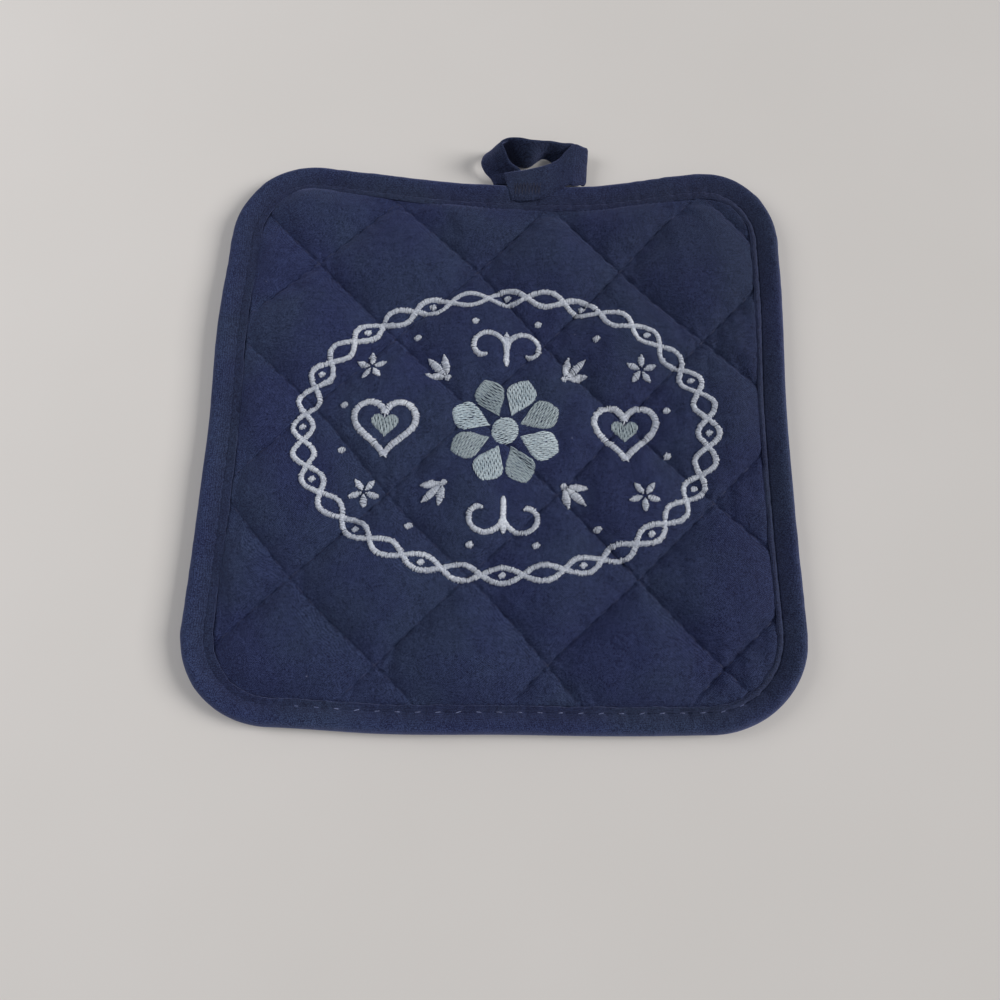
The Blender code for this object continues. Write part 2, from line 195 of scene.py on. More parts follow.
def make_camera():
    data = bpy.data.cameras.new("camera")
    data.sensor_width = SENSOR_MM
    data.lens = FOCAL * SENSOR_MM
    data.clip_start = 0.01
    data.clip_end = 20.0
    camera = add_object("camera", data)
    target = Vector((np.array(VIEW_TARGET) + FRAME_SHIFT) * MM)
    turn = (Matrix.Rotation(VIEW_AZIMUTH, 4, "Z")
            @ Matrix.Rotation(math.pi / 2 - VIEW_ELEVATION, 4, "X")
            @ Matrix.Rotation(VIEW_ROLL, 4, "Z"))
    back = Matrix.Translation((0.0, 0.0, VIEW_DISTANCE))
    camera.matrix_world = Matrix.Translation(target) @ turn @ back
    bpy.context.scene.camera = camera


# ---------------- outline of the bound edge
HALF_WIDTH = 95.0
HALF_HEIGHT = 95.9
SIDE_WAYS = np.array([(1, 0), (0, 1), (-1, 0), (0, -1)])
CORNERS = (
    # way from the middle, radius; the side of the same number starts there
    ((1, -1), 30.2),
    ((1, 1), 28.2),
    ((-1, 1), 33.4),
    ((-1, -1), 29.4),
)
SIDE_BOW = (1.4, 7.6, 0.8, -1.1)  # how far the middle of each side lies further in
SIDE_LEAN = (-0.2, 0.9, 0.2, 0.7)  # and how far its end at positive x or y does
RIM_WANDER = (0.2, -0.1, -0.2, 0.4, -0.4, 0.6, -1.2, -0.1, 0.1, 0.1,
              -0.8, 0.7, -0.2, -0.1, 0.2, -0.6, 0.3, -0.2, 0.1, -0.2)
NORMAL_REACH = 0.5
EDGE_SAMPLES = 1440


def rim_stretches():
    """The plain rounded square as sides and corners in turn, from the foot of the right side."""
    centres = [np.array(way) * (HALF_WIDTH - radius, HALF_HEIGHT - radius)
               for way, radius in CORNERS]
    stretches = []
    for k, out in enumerate(SIDE_WAYS):
        after = (k + 1) % len(CORNERS)
        radius, next_radius = CORNERS[k][1], CORNERS[after][1]
        whole = 2 * (HALF_WIDTH if k % 2 else HALF_HEIGHT)
        stretches += [
            ("side", whole - radius - next_radius, centres[k] + radius * out, SIDE_WAYS[after]),
            ("corner", math.pi / 2 * next_radius, centres[after], (next_radius, k)),
        ]
    return stretches


RIM_STRETCHES = rim_stretches()
RIM_LENGTH = sum(stretch[1] for stretch in RIM_STRETCHES)


def bowed_rim(travel):
    """The rounded square with its bowed and leaning sides, at distances of travel along it."""
    points = np.zeros((len(travel), 2))
    start = 0.0
    for kind, length, anchor, extra in RIM_STRETCHES:
        inside = (travel >= start) & (travel < start + length)
        step = travel[inside] - start
        if kind == "side":
            points[inside] = anchor + step[:, None] * extra
        else:
            radius, quadrant = extra
            points[inside] = anchor + radius * direction(step / radius + quadrant * math.pi / 2)
        start += length
    shares = points / (HALF_WIDTH, HALF_HEIGHT)
    for k, way in enumerate(SIDE_WAYS):
        along = shares[:, 1 - k % 2]
        near = np.clip(shares @ way, 0, 1) ** 2
        pull = (SIDE_BOW[k] * bell(along, 1.0) + SIDE_LEAN[k] * along) * near
        points = points - pull[:, None] * way
    return points


def wander(share):
    """The outline's unevenness at shares of the way round."""
    values = np.array(RIM_WANDER)
    place = (share % 1.0) * len(values)
    low = np.floor(place).astype(int) % len(values)
    part = smooth(place - np.floor(place))
    return values[low] * (1 - part) + values[(low + 1) % len(values)] * part


def edge_frame(share):
    """Points of the bound edge at shares of the way round, and the directions outward there."""
    travel = (np.asarray(share, float) % 1.0) * RIM_LENGTH
    run = unit(bowed_rim((travel + NORMAL_REACH) % RIM_LENGTH)
               - bowed_rim((travel - NORMAL_REACH) % RIM_LENGTH))
    outward = np.stack([run[:, 1], -run[:, 0]], 1)
    return bowed_rim(travel) + outward * wander(travel / RIM_LENGTH)[:, None], outward


def rim_shares(side_steps, corner_steps):
    """Shares of the way round that divide each side and each corner evenly."""
    shares, start = [], 0.0
    for kind, length, _anchor, _extra in RIM_STRETCHES:
        steps = side_steps if kind == "side" else corner_steps
        shares.extend((start + length * k / steps) / RIM_LENGTH for k in range(steps))
        start += length
    return np.array(shares)


def edge_place(x, y, samples=EDGE_SAMPLES):
    """Distance inward from the bound edge, negative outside it, and the way outward there."""
    points, outward = edge_frame(np.linspace(0, 1, samples, endpoint=False))
    best = np.full(len(x), np.inf)
    signed = np.zeros(len(x))
    nearest = np.zeros(len(x), int)
    for number, ((edge_x, edge_y), (out_x, out_y)) in enumerate(zip(points, outward)):
        away_x = x - edge_x
        away_y = y - edge_y
        square = away_x * away_x + away_y * away_y
        nearer = square < best
        best[nearer] = square[nearer]
        signed[nearer] = -(away_x * out_x + away_y * out_y)[nearer]
        nearest[nearer] = number
    return signed, outward[nearest]


def by_side(outward, *values):
    """A value that passes from one side's to the next through the corners."""
    return sum(value * np.maximum(outward @ way, 0) ** 2 for value, way in zip(values, SIDE_WAYS))


FOLD_INSET = 9.38  # where the binding's folded edge lies on the face
FOLD_SHIFT = (0.0, 0.35, 0.9, -0.85)  # how much further in it lies on each side
FOLD_TOP_LEAN = 0.5  # and at the top's right end, against its middle
SEAM_SHIFT = (0.55, 0.45, 0.7, -0.3)  # how much further in the binding's seam lies


def fold_shift(x, outward):
    right, top, left, foot = FOLD_SHIFT
    return by_side(outward, right, top + FOLD_TOP_LEAN * x / HALF_WIDTH, left, foot)


# ---------------- quilting lines
LINE_STATIONS = (-90.0, -45.0, 0.0, 45.0, 90.0)  # places along a line
FIRST_LINE = -2  # count of the first line of each family
FALL_LINES = np.array([
    # distance across at the stations, line by line
    (-117.0, -117.0, -117.0, -117.0, -117.0),
    (-79.0, -79.3, -81.5, -79.2, -79.0),
    (-41.8, -39.6, -42.3, -41.6, -44.8),
    (-4.5, -4.4, -3.4, -3.9, -5.3),
    (30.2, 32.2, 28.9, 29.3, 31.5),
    (68.2, 67.6, 67.0, 69.3, 69.3),
    (107.5, 107.5, 108.8, 103.0, 100.0),
    (145.0, 145.0, 145.0, 142.0, 140.0),
])
RISE_LINES = np.array([
    (-122.0, -122.0, -122.0, -121.0, -121.0),
    (-87.0, -86.3, -83.9, -82.8, -82.8),
    (-45.5, -45.6, -44.8, -44.2, -47.5),
    (-8.3, -7.2, -8.8, -9.3, -12.5),
    (29.7, 29.5, 30.2, 27.2, 25.8),
    (67.0, 65.6, 66.7, 66.0, 65.5),
    (103.0, 103.0, 103.0, 104.0, 104.0),
    (140.0, 140.0, 140.0, 140.0, 140.0),
])
FALL_SEED = 21
RISE_SEED = 31
LATTICE_ROUNDS = 5
LINE_SPACING = 36.8
TABLE_SIZE = 16  # of the tables that give each line or diamond a value of its own


def table_place(count):
    return (np.floor(count) + 4).astype(int) % TABLE_SIZE


def across_family(lines, count, along):
    """Distance across a family of lines at a line count (with fractions) and a place along."""
    at = count - FIRST_LINE
    low = np.clip(np.floor(at), 0, len(lines) - 2).astype(int)
    part = (at - low)[:, None]
    blend = lines[low] * (1 - part) + lines[low + 1] * part
    slopes = np.gradient(blend, axis=1)
    first, second = LINE_STATIONS[:2]
    place = np.clip((along - first) / (second - first), 0, len(LINE_STATIONS) - 1 - 1e-9)
    low = place.astype(int)
    index = np.arange(len(count))
    return hermite(place - low, blend[index, low], slopes[index, low],
                   blend[index, low + 1], slopes[index, low + 1])


def lattice(fall_count, rise_count):
    """Distances across both families for the given line counts."""
    fall = across_family(FALL_LINES, fall_count, np.zeros(len(fall_count)))
    rise = across_family(RISE_LINES, rise_count, np.zeros(len(rise_count)))
    for _ in range(LATTICE_ROUNDS):
        fall, rise = (across_family(FALL_LINES, fall_count, rise),
                      across_family(RISE_LINES, rise_count, fall))
    return fall, rise


def plan_of(fall, rise):
    return (fall + rise) / math.sqrt(2), (fall - rise) / math.sqrt(2)


# ---------------- embroidery design
DESIGN_MIDDLE = np.array([2.0, -3.0])
GARLAND = np.array([65.0, 47.0])  # half sizes of the wavy oval
GARLAND_WAVES = 16
GARLAND_SWELL = 0.052
GARLAND_FILL = ((11.25, "dot"), (33.75, "flower"), (56.25, "dot"), (78.75, "dot"))
GARLAND_FILL_SHARE = 0.815
HEART_PLACE = np.array([38.5, 1.0])
HEART_SIZE = 0.62
HEART_FILL_SIZE = 0.27
HEART_TURN = np.linspace(0, FULL_TURN, 121)
HEART = np.stack([16 * np.sin(HEART_TURN) ** 3,
                  13 * np.cos(HEART_TURN) - 5 * np.cos(2 * HEART_TURN)
                  - 2 * np.cos(3 * HEART_TURN) - np.cos(4 * HEART_TURN)], 1)
CURL_PLACE = np.array([6.8, 28.0])
CURL_RADIUS = 6.8
CURL_STEM = ((0.0, 22.2), (0.0, 25.0))
CURL_TIP = (0.0, 27.4)
FAN_PLACE = np.array([19.0, 18.0])
FAN = ((-0.62, 6.4), (0.0, 8.2), (0.62, 6.4))  # angle and length of its grains
LINE_WIDTH = 1.7
HEART_WIDTH = 2.1
PETALS = 8
SAMPLE_STEP = 0.9


def design_strokes():
    """The embroidered lines: (path, width, name of the width's course)."""
    turn = np.linspace(0, FULL_TURN, 481)
    waves = GARLAND_SWELL * np.cos(GARLAND_WAVES * turn)[:, None]
    # two strands that cross and part round the garland, and two hearts in it
    paths = [(GARLAND * direction(turn) * (1 + side * waves), LINE_WIDTH) for side in BOTH]
    paths += [(HEART_PLACE * (side, 1) + HEART_SIZE * HEART, HEART_WIDTH) for side in BOTH]
    # ram's-horn curls over and under the middle
    along = np.linspace(0, 1, 90)
    radius = CURL_RADIUS * (1 - 0.72 * along)
    curl = CURL_PLACE + radius[:, None] * direction(math.pi - 1.55 * math.pi * along ** 0.9)
    horn = np.vstack([eased(np.vstack([CURL_STEM, curl[:1]]), 8)[:-1], curl])
    paths += [(horn * (side, up), LINE_WIDTH) for up in BOTH for side in BOTH]
    return [(path, width, "even") for path, width in paths]


def grain(base, angle, length, width, course="grain"):
    """A short stitched grain that starts at base and runs at the angle."""
    return base + np.linspace(0, 1, 24)[:, None] * length * direction(angle), width, course


def dot(middle, length, width):
    return grain(middle - np.array([length / 2, 0.0]), 0.0, length, width, "dot")


def flower(middle, turn):
    """Five small pointed grains round a point."""
    ways = [turn + petal * FULL_TURN / 5 for petal in range(5)]
    return [grain(middle + 0.9 * direction(way), way, 4.0, 2.1) for way in ways]


def design_grains():
    """Small stitched grains and dots of the design."""
    grains = [dot(GARLAND * direction(k * FULL_TURN / GARLAND_WAVES), 2.0, 2.1)
              for k in range(GARLAND_WAVES)]
    for side in BOTH:
        for up in BOTH:
            for place, kind in GARLAND_FILL:
                middle = GARLAND_FILL_SHARE * GARLAND * direction(math.radians(place)) * (side, up)
                if kind == "flower":
                    grains += flower(middle, math.pi / 2 * up)
                else:
                    grains.append(dot(middle, 2.2, 2.3))
            # a fan of three grains on each diagonal
            base = FAN_PLACE * (side, up)
            lean = math.atan2(base[1], base[0])
            grains += [grain(base + direction(lean + spread), lean + spread, length, 2.5)
                       for spread, length in FAN]
            grains.append(dot(base, 2.0, 2.0))
    return grains + [grain(np.array(CURL_TIP) * up, up * math.pi / 2, 6.4, 2.6) for up in BOTH]


def design_fills():
    """The closely filled shapes: (outline, direction of the stitches, thread)."""
    share = np.linspace(0, 1, 25)
    along = 5.0 + 13.6 * share
    half = 4.9 * np.sin(math.pi * share ** 1.5) ** 0.8
    petal = np.concatenate([np.stack([along, half], 1), np.stack([along, -half], 1)[::-1]])
    ways = [FULL_TURN * (k + 0.5) / PETALS for k in range(PETALS)]
    fills = [(rotated(petal, way), way + 0.6, "pale" if k % 2 else "grey")
             for k, way in enumerate(ways)]
    fills.append((4.4 * direction(np.linspace(0, FULL_TURN, 49)[:-1]), 0.3, "pale"))
    return fills + [(HEART_PLACE * (side, 1) + HEART_FILL_SIZE * HEART[:-1], math.pi / 2, "grey")
                    for side in BOTH]


STROKES = [(path + DESIGN_MIDDLE, *rest) for path, *rest in design_strokes() + design_grains()]
FILLS = [(outline + DESIGN_MIDDLE, *rest) for outline, *rest in design_fills()]


def design_distance(x, y):
    """Distance from the embroidered lines and the filled shapes."""
    paths = [resample(path, SAMPLE_STEP) for path, _width, _course in STROKES]
    for outline, _way, _thread in FILLS:
        middle = outline.mean(axis=0)
        for share in (1.0, 0.55):
            ring = middle + share * (outline - middle)
            paths.append(resample(np.vstack([ring, ring[:1]]), SAMPLE_STEP))
    best = np.full(len(x), np.inf)
    for sample_x, sample_y in np.vstack(paths):
        best = np.minimum(best, (x - sample_x) ** 2 + (y - sample_y) ** 2)
    return np.sqrt(best)


# ---------------- quilted pad
CELLS = 40  # mesh steps from one stitched line to the next
CLUSTER = 0.62  # how closely the steps gather beside the lines
FALL_RANGE = (-2.75, 5.05)
RISE_RANGE = (-2.65, 5.15)
CHANNEL_Z = 4.1
CROWN = 3.5
FULLNESS = (0.86, 1.1)  # each diamond's own crown, as a share
LIP_POWER = 0.46  # the steep rise beside a stitched line
LIP_SHARE = 0.52
CENTRE_FLATTENING = 0.28
CENTRE_REACH = (58.0, 40.0)
EDGE_RISE_LENGTH = 9.5
EDGE_RISE_EARLIER = (0.3, 0.5, 1.0, 1.0)
EDGE_RISE_POWER = (0.5, 0.55, 0.85, 0.65)
MARGIN_INSET = 7.1  # where the pad's cloth ends, hidden in the binding
STITCH_PITCH = 5.45  # quilting stitches, hole to hole
STITCH_SHARE = 0.56  # share of the pitch that shows as thread
WRINKLES = (
    # height, size across and along, lean, seed
    (0.22, 13.0, 13.0, 0.0, 11),
    (0.10, 4.6, 4.6, 0.0, 12),
    (0.26, 4.6, 21.0, 0.0, 15),
    (0.156, 3.4, 14.0, 0.4, 16),
)
BROAD_WRINKLE = (0.46, 8.6, 27.0, 0.15, 18)
CREASES = (
    # start x, y, end x, y, depth, width: small folds that the sewing has pulled into the face
    (22.8, 63.0, 23.6, 48.0, 0.34, 1.3),
    (67.6, 22.0, 66.9, 2.0, 0.30, 0.8),
    (57.0, -39.0, 56.2, -57.0, 0.42, 1.3),
    (61.0, -87.4, 67.0, -82.4, 0.60, 0.7),
    (58.8, -87.4, 81.0, -62.6, 0.55, 1.0),
    (44.4, -57.0, 42.4, -75.0, 0.50, 2.6),
    (43.0, -69.0, 37.0, -86.0, 0.46, 2.6),
    (-39.8, 70.0, -37.0, 54.0, 0.34, 2.0),
    (-46.0, 66.0, -43.5, 55.0, 0.24, 1.6),
)
HOLLOW_PLACE = (79.0, 74.0)  # the flat crescent inside the right top corner
HOLLOW_REACH = 19.0
HOLLOW_FROM = 9.6
HOLLOW_WIDE = 3.4
HOLLOW_LEVEL = 4.7
SUNK_PLACE = (-78.0, -68.0)  # the face falls towards the binding in the left foot corner
SUNK_REACH = 38.0
SUNK_DEPTH = 0.5
SUNK_BY_SIDE = (0.0, 0.15, 0.6, 0.0)
SUNK_WIDE = 3.4
MEETS_LEVEL = 5.18  # where the face comes up to the binding's folded edge
MEETS_BY_SIDE = (0.0, 0.2, 0.5, 0.9)

HOLE_SINK, HOLE_WIDE = 0.42, 0.9         # the cloth sinks at the stitches' holes...
HOLE_LONG = 0.16                         # (as a share of the pitch)
LINE_SINK, LINE_WIDE = 0.24, 0.5         # ...and along the whole line
SIDE_FOLDS = 0.24                        # height of the small folds that run out from a line
SIDE_FOLDS_CELL, SIDE_FOLDS_REACH = 2.3, 4.2
DRAWN_DEPTH, DRAWN_REACH = 0.45, 2.6     # the cloth is drawn in round the embroidery...
PUCKER_HEIGHT, PUCKER_CELL, PUCKER_REACH = 0.17, 1.9, 4.5      # ...and puckers there
UNDER_CHANNEL = 0.9                      # depth of the channels underneath
UNDER_EDGE_RISE, UNDER_EDGE_FROM = 1.05, 10.4
UNDER_RIPPLE, UNDER_RIPPLE_CELL = 0.07, 5.0

Face = namedtuple("Face", "x y fall_count rise_count fall rise inward way")


def stitch_phase(line, along, seed):
    """How far along a stitch each place is, from 0 to 1, on lines of one family."""
    offsets = np.random.default_rng(seed).uniform(0, 1, TABLE_SIZE)
    return (along / STITCH_PITCH + offsets[table_place(line)]) % 1.0


def line_pull(count, along, seed):
    """Sinking of the cloth at the stitch holes, and the small folds that run out from a line."""
    line = np.round(count)
    away = (count - line) * LINE_SPACING
    phase = stitch_phase(line, along, seed)
    hole = hump(np.minimum(phase, 1 - phase), HOLE_LONG)
    sink = -HOLE_SINK * hole * hump(away, HOLE_WIDE) - LINE_SINK * hump(away, LINE_WIDE)
    folds = noise(along + 31.7 * line, away * 0.24, SIDE_FOLDS_CELL, seed + 1)
    reach = np.exp(-np.abs(away) / SIDE_FOLDS_REACH) * (1 - hump(away, 0.7))
    return sink + SIDE_FOLDS * folds * reach


def sunk_share(x, y, outward):
    """How far the face and the folded edge sink beside each other: mostly on the left."""
    near_corner = bell(np.hypot(x - SUNK_PLACE[0], y - SUNK_PLACE[1]), SUNK_REACH)
    return np.maximum(near_corner, by_side(outward, *SUNK_BY_SIDE))


def creases(x, y):
    sunk = np.zeros(len(x))
    for start_x, start_y, end_x, end_y, depth, width in CREASES:
        run_x, run_y = end_x - start_x, end_y - start_y
        length = math.hypot(run_x, run_y)
        along = ((x - start_x) * run_x + (y - start_y) * run_y) / length ** 2
        away = ((x - start_x) * run_y - (y - start_y) * run_x) / length
        sunk += depth * bell(2 * along - 1, 1.2) * hump(away, width)
    return sunk


def wrinkle(x, y, height, across, along, lean, seed):
    return height * noise((x + lean * y) / across, y / along, 1.0, seed)


def face_height(face, stitched):
    """Height of the face before it swells; stitched is the distance from the embroidery."""
    x, y, fall_count, rise_count, fall, rise, inward, way = face
    beat = np.abs(np.sin(math.pi * fall_count) * np.sin(math.pi * rise_count))
    puff = LIP_SHARE * beat ** LIP_POWER + (1 - LIP_SHARE) * beat
    past_fold = inward - FOLD_INSET - fold_shift(x, way)
    edge = np.clip((past_fold + by_side(way, *EDGE_RISE_EARLIER)) / EDGE_RISE_LENGTH, 0, 1)
    edge = (1 - (1 - edge) ** 2) ** by_side(way, *EDGE_RISE_POWER)
    middle = hump(x, CENTRE_REACH[0]) * hump(y, CENTRE_REACH[1])
    own = np.random.default_rng(5).uniform(*FULLNESS, (TABLE_SIZE, TABLE_SIZE))
    own = own[table_place(fall_count), table_place(rise_count)]
    height = CHANNEL_Z + CROWN * own * (1 - CENTRE_FLATTENING * middle) * edge * puff
    loose = edge * puff
    height += loose * sum(wrinkle(x, y, *row) for row in WRINKLES)
    towards_foot = np.clip(0.8 - y / (2 * HALF_WIDTH), 0.4, 1.2)
    height += towards_foot * loose * wrinkle(x, y, *BROAD_WRINKLE)
    height += edge * line_pull(fall_count, rise, FALL_SEED)
    height += edge * line_pull(rise_count, fall, RISE_SEED)
    height -= edge * creases(x, y)
    # the right top corner keeps a hollow beside the binding
    near = bell(np.hypot(x - HOLLOW_PLACE[0], y - HOLLOW_PLACE[1]), HOLLOW_REACH)
    within = 1 - np.clip((inward - HOLLOW_FROM) / (HOLLOW_WIDE * np.sqrt(near) + 0.05), 0, 1) ** 4
    height -= np.maximum(height - HOLLOW_LEVEL, 0) * within * np.minimum(1.0, 3 * near)
    sunk = sunk_share(x, y, way)
    height -= SUNK_DEPTH * sunk * hump(np.maximum(past_fold, 0), SUNK_WIDE)
    height -= DRAWN_DEPTH * hump(stitched, DRAWN_REACH) * edge
    puckers = noise(x * 1.25, y, PUCKER_CELL, 13)
    height += PUCKER_HEIGHT * puckers * hump(stitched, PUCKER_REACH) * edge
    # the cloth comes up to the binding's folded edge and goes down under it
    meets = by_side(way, *MEETS_BY_SIDE) * (1 - 0.8 * sunk)
    beside = hump(np.maximum(past_fold - 0.1, 0), 1.2) * np.clip((past_fold + 0.45) / 0.45, 0, 1)
    height += meets * np.maximum(MEETS_LEVEL - height, 0) * beside
    return height - np.clip((-0.1 - past_fold) / 2.2, 0, 1)


def under_height(face):
    """Height of the underside: it lies flat, with shallow channels under the stitched lines."""
    beat = np.abs(np.sin(math.pi * face.fall_count) * np.sin(math.pi * face.rise_count))
    puff = beat ** LIP_POWER
    channels = np.maximum(0.0, UNDER_CHANNEL - 1.7 * puff)
    rise_at_edge = UNDER_EDGE_RISE * np.clip((UNDER_EDGE_FROM - face.inward) / 1.4, 0, 1)
    ripples = UNDER_RIPPLE * (1 + noise(face.x, face.y, UNDER_RIPPLE_CELL, 14))
    return np.maximum(channels, rise_at_edge) + ripples * puff


def warped_counts(low, high):
    """Line counts in steps that gather beside the lines."""
    base = np.arange(round(low * CELLS), round(high * CELLS) + 1) / CELLS
    return base - CLUSTER / FULL_TURN * np.sin(FULL_TURN * base)


def face_grid(fall_lines, rise_lines):
    """The face at every crossing of the two sets of counts, and the quads inside its margin."""
    fall_count, rise_count = (a.ravel() for a in np.meshgrid(fall_lines, rise_lines, indexing="ij"))
    fall, rise = lattice(fall_count, rise_count)
    x, y = plan_of(fall, rise)
    inward, way = edge_place(x, y)
    quads = grid_faces(len(fall_lines), len(rise_lines))[:, ::-1]
    quads = quads[(inward[quads] > MARGIN_INSET).all(axis=1)]
    return Face(x, y, fall_count, rise_count, fall, rise, inward, way), quads


SIM_SCALE = 20.0  # the face is simulated this many times larger
SIM_STRIDE = 2  # every second line of the mesh takes part
SIM_FRAMES = 20
SIM_CAP = 1.8  # no point moves further than this
SIM_SETTINGS = {
    "quality": 5, "mass": 0.15,
    "tension_stiffness": 12.0, "compression_stiffness": 12.0,
    "shear_stiffness": 4.0, "bending_stiffness": 0.02,
    "tension_damping": 5.0, "compression_damping": 5.0,
    "shear_damping": 5.0, "bending_damping": 0.5,
    "vertex_group_mass": "held", "pin_stiffness": 1.0,
    "shrink_min": -0.03,       # the cloth is cut too large by this share
    "use_pressure": True, "uniform_pressure_force": 0.9,
}
HELD_INSET = 9.8  # the binding holds the face out to here
HELD_BESIDE_THREAD = 0.8


def swollen(points, held, faces):
    """Rise of the stitched face when its cloth, a little too full, swells between what holds it."""
    mesh = bpy.data.meshes.new("swelling")
    start = points * MM * SIM_SCALE
    mesh.from_pydata([tuple(point) for point in start], [], [tuple(face) for face in faces])
    item = add_object("swelling", mesh)
    group = item.vertex_groups.new(name="held")
    group.add([int(k) for k in np.nonzero(held)[0]], 1.0, "REPLACE")
    modifier = item.modifiers.new("cloth", "CLOTH")
    for key, value in SIM_SETTINGS.items():
        setattr(modifier.settings, key, value)
    modifier.settings.effector_weights.gravity = 0.0
    modifier.collision_settings.use_collision = False
    modifier.point_cache.frame_start = 1
    modifier.point_cache.frame_end = SIM_FRAMES
    scene = bpy.context.scene
    for number in range(1, SIM_FRAMES + 1):
        scene.frame_set(number)
    result = item.evaluated_get(bpy.context.evaluated_depsgraph_get()).to_mesh()
    after = np.zeros(start.size)
    result.vertices.foreach_get("co", after)
    item.to_mesh_clear()
    bpy.data.objects.remove(item)
    bpy.data.meshes.remove(mesh)
    scene.frame_set(1)
    moved = (after.reshape(-1, 3) - start) / MM / SIM_SCALE
    return SIM_CAP * np.tanh(moved[:, 2] / SIM_CAP)


def finer(values, count, axis):
    """Values on every SIM_STRIDE-th line brought to all lines, eased once."""
    values = np.moveaxis(values, axis, 0)
    place = np.arange(count) / SIM_STRIDE
    low = np.clip(place.astype(int), 0, len(values) - 2)
    part = (place - low)[:, None]
    fine = values[low] * (1 - part) + values[low + 1] * part
    fine[1:-1] = (fine[:-2] + 2 * fine[1:-1] + fine[2:]) / 4
    return np.moveaxis(fine, 0, axis)


def swelling(fall_lines, rise_lines):
    """The simulated rise at every point of the grid."""
    coarse = fall_lines[::SIM_STRIDE], rise_lines[::SIM_STRIDE]
    face, quads = face_grid(*coarse)
    stitched = design_distance(face.x, face.y)
    points = np.stack([face.x, face.y, face_height(face, stitched)], 1)
    held = (face.inward < HELD_INSET) | (stitched < HELD_BESIDE_THREAD)
    for count in (face.fall_count, face.rise_count):
        held |= np.abs(count - np.round(count)) < 1e-6
    rise = swollen(points, held, quads).reshape([len(lines) for lines in coarse])
    return finer(finer(rise, len(fall_lines), 0), len(rise_lines), 1).ravel()


SLOPE_STEP = 0.4


def inward_slope(x, y, step_x, step_y):
    """How fast the distance from the edge grows along a step."""
    further = edge_place(x + step_x, y + step_y)[0] - edge_place(x - step_x, y - step_y)[0]
    return further / (2 * (step_x + step_y))


def build_pad():
    fall_lines, rise_lines = warped_counts(*FALL_RANGE), warped_counts(*RISE_RANGE)
    face, quads = face_grid(fall_lines, rise_lines)
    swell = swelling(fall_lines, rise_lines)
    used, packed = np.unique(quads, return_inverse=True)
    quads = packed.reshape(quads.shape)
    face = Face(*(values[used] for values in face))
    # the outermost points move to the margin's line
    edges = np.concatenate([quads[:, [k, (k + 1) % 4]] for k in range(4)])
    _pairs, first, uses = np.unique(np.sort(edges, axis=1), axis=0,
                                    return_index=True, return_counts=True)
    border = edges[first[uses == 1]]
    outer = np.unique(border)
    x, y = face.x[outer], face.y[outer]
    beyond = face.inward[outer] - MARGIN_INSET
    face.x[outer] -= inward_slope(x, y, SLOPE_STEP, 0.0) * beyond
    face.y[outer] -= inward_slope(x, y, 0.0, SLOPE_STEP) * beyond
    face.inward[outer] = MARGIN_INSET
    top = face_height(face, design_distance(face.x, face.y)) + swell[used]
    points = np.concatenate([np.stack([face.x, face.y, z], 1) for z in (top, under_height(face))])
    count = len(top)
    side = np.stack([border[:, 1], border[:, 0], border[:, 0] + count, border[:, 1] + count], 1)
    pad = mesh_object("quilted_face", points, np.concatenate([quads, quads[:, ::-1] + count, side]))
    return pad, surface_tree(points[:count], quads)


# ---------------- binding
# Outer side of the folded strip, from its face edge round to the underside: distance in from the
# bound edge, height, and how much each place follows the stitches' pull, the lip and the roll.
BINDING_OUTER = (
    # inset, height, pull, lip, roll
    (9.38, 5, 0.2, 1, 0),
    (9.2, 5.34, 0.25, 1, 0),
    (8.8, 5.5, 0.35, 1, 0),
    (8.2, 5.4, 0.45, 0.8, 0),
    (7.7, 5.2, 0.6, 0.5, 0),
    (7.3, 5.02, 0.85, 0.2, 0),
    (7, 4.88, 1, 0, 0),
    (6.8, 4.64, 1, 0, 0),
    (6.5, 4.98, 1, 0, 0),
    (6.1, 5.14, 0.8, 0, 0.1),
    (5.5, 5.36, 0.5, 0, 0.4),
    (4.8, 5.58, 0.25, 0, 0.8),
    (4, 5.76, 0.1, 0, 1),
    (3.2, 5.89, 0, 0, 1),
    (2.4, 5.92, 0, 0, 1),
    (1.7, 5.78, 0, 0, 1),
    (1.05, 5.4, 0, 0, 1),
    (0.5, 4.72, 0, 0, 1),
    (0.18, 3.96, 0, 0, 0.9),
    (0.05, 3.1, 0, 0, 0.8),
    (0.05, 2.3, 0, 0, 0.6),
    (0.32, 1.52, 0, 0, 0.3),
    (0.85, 0.84, 0, 0, 0.1),
    (1.6, 0.34, 0, 0, 0),
    (2.6, 0.06, 0, 0, 0),
    (3.8, 0, 0, 0, 0),
    (5.4, 0, 0, 0, 0),
    (6.3, 0.06, -0.3, 0, 0),
    (6.8, 0.24, -0.5, 0, 0),
    (7.3, 0.06, -0.3, 0, 0),
    (8.3, 0, 0, 0, 0),
    (9.1, 0.05, 0, 1, 0),
    (9.38, 0.38, 0, 1, 0),
)
# Inner side of the strip, from the underside back round to the face edge: inset, height.
BINDING_INNER = (
    (9.20, 0.74), (8.2, 0.82), (6.8, 0.86), (4.6, 0.84), (2.9, 0.90), (1.8, 1.32),
    (1.15, 2.10), (1.0, 2.9), (1.25, 3.70), (1.9, 4.34), (2.8, 4.80), (3.9, 4.96),
    (5.2, 4.72), (6.2, 4.42), (6.9, 4.30), (7.7, 4.44), (8.6, 4.60), (9.15, 4.66),
)
BINDING_SIDE_STEPS = 250
BINDING_CORNER_STEPS = 56
UPPER_FROM = 4.0  # heights above this belong to the strip's upper side
ROLL_HEIGHT = 5.9
LIP_LEVEL = 5.2
LIP_FROM = 5.8  # the lip and its groove lie further in than this
LIP_TOP = 5.1
LIP_LOWER = (0.0, 0.34, 0.16, 0.12)
GROOVE_DEPTH = (0.85, 0.54, 0.50, 0.50)
TOPSTITCH_INSET = 6.8
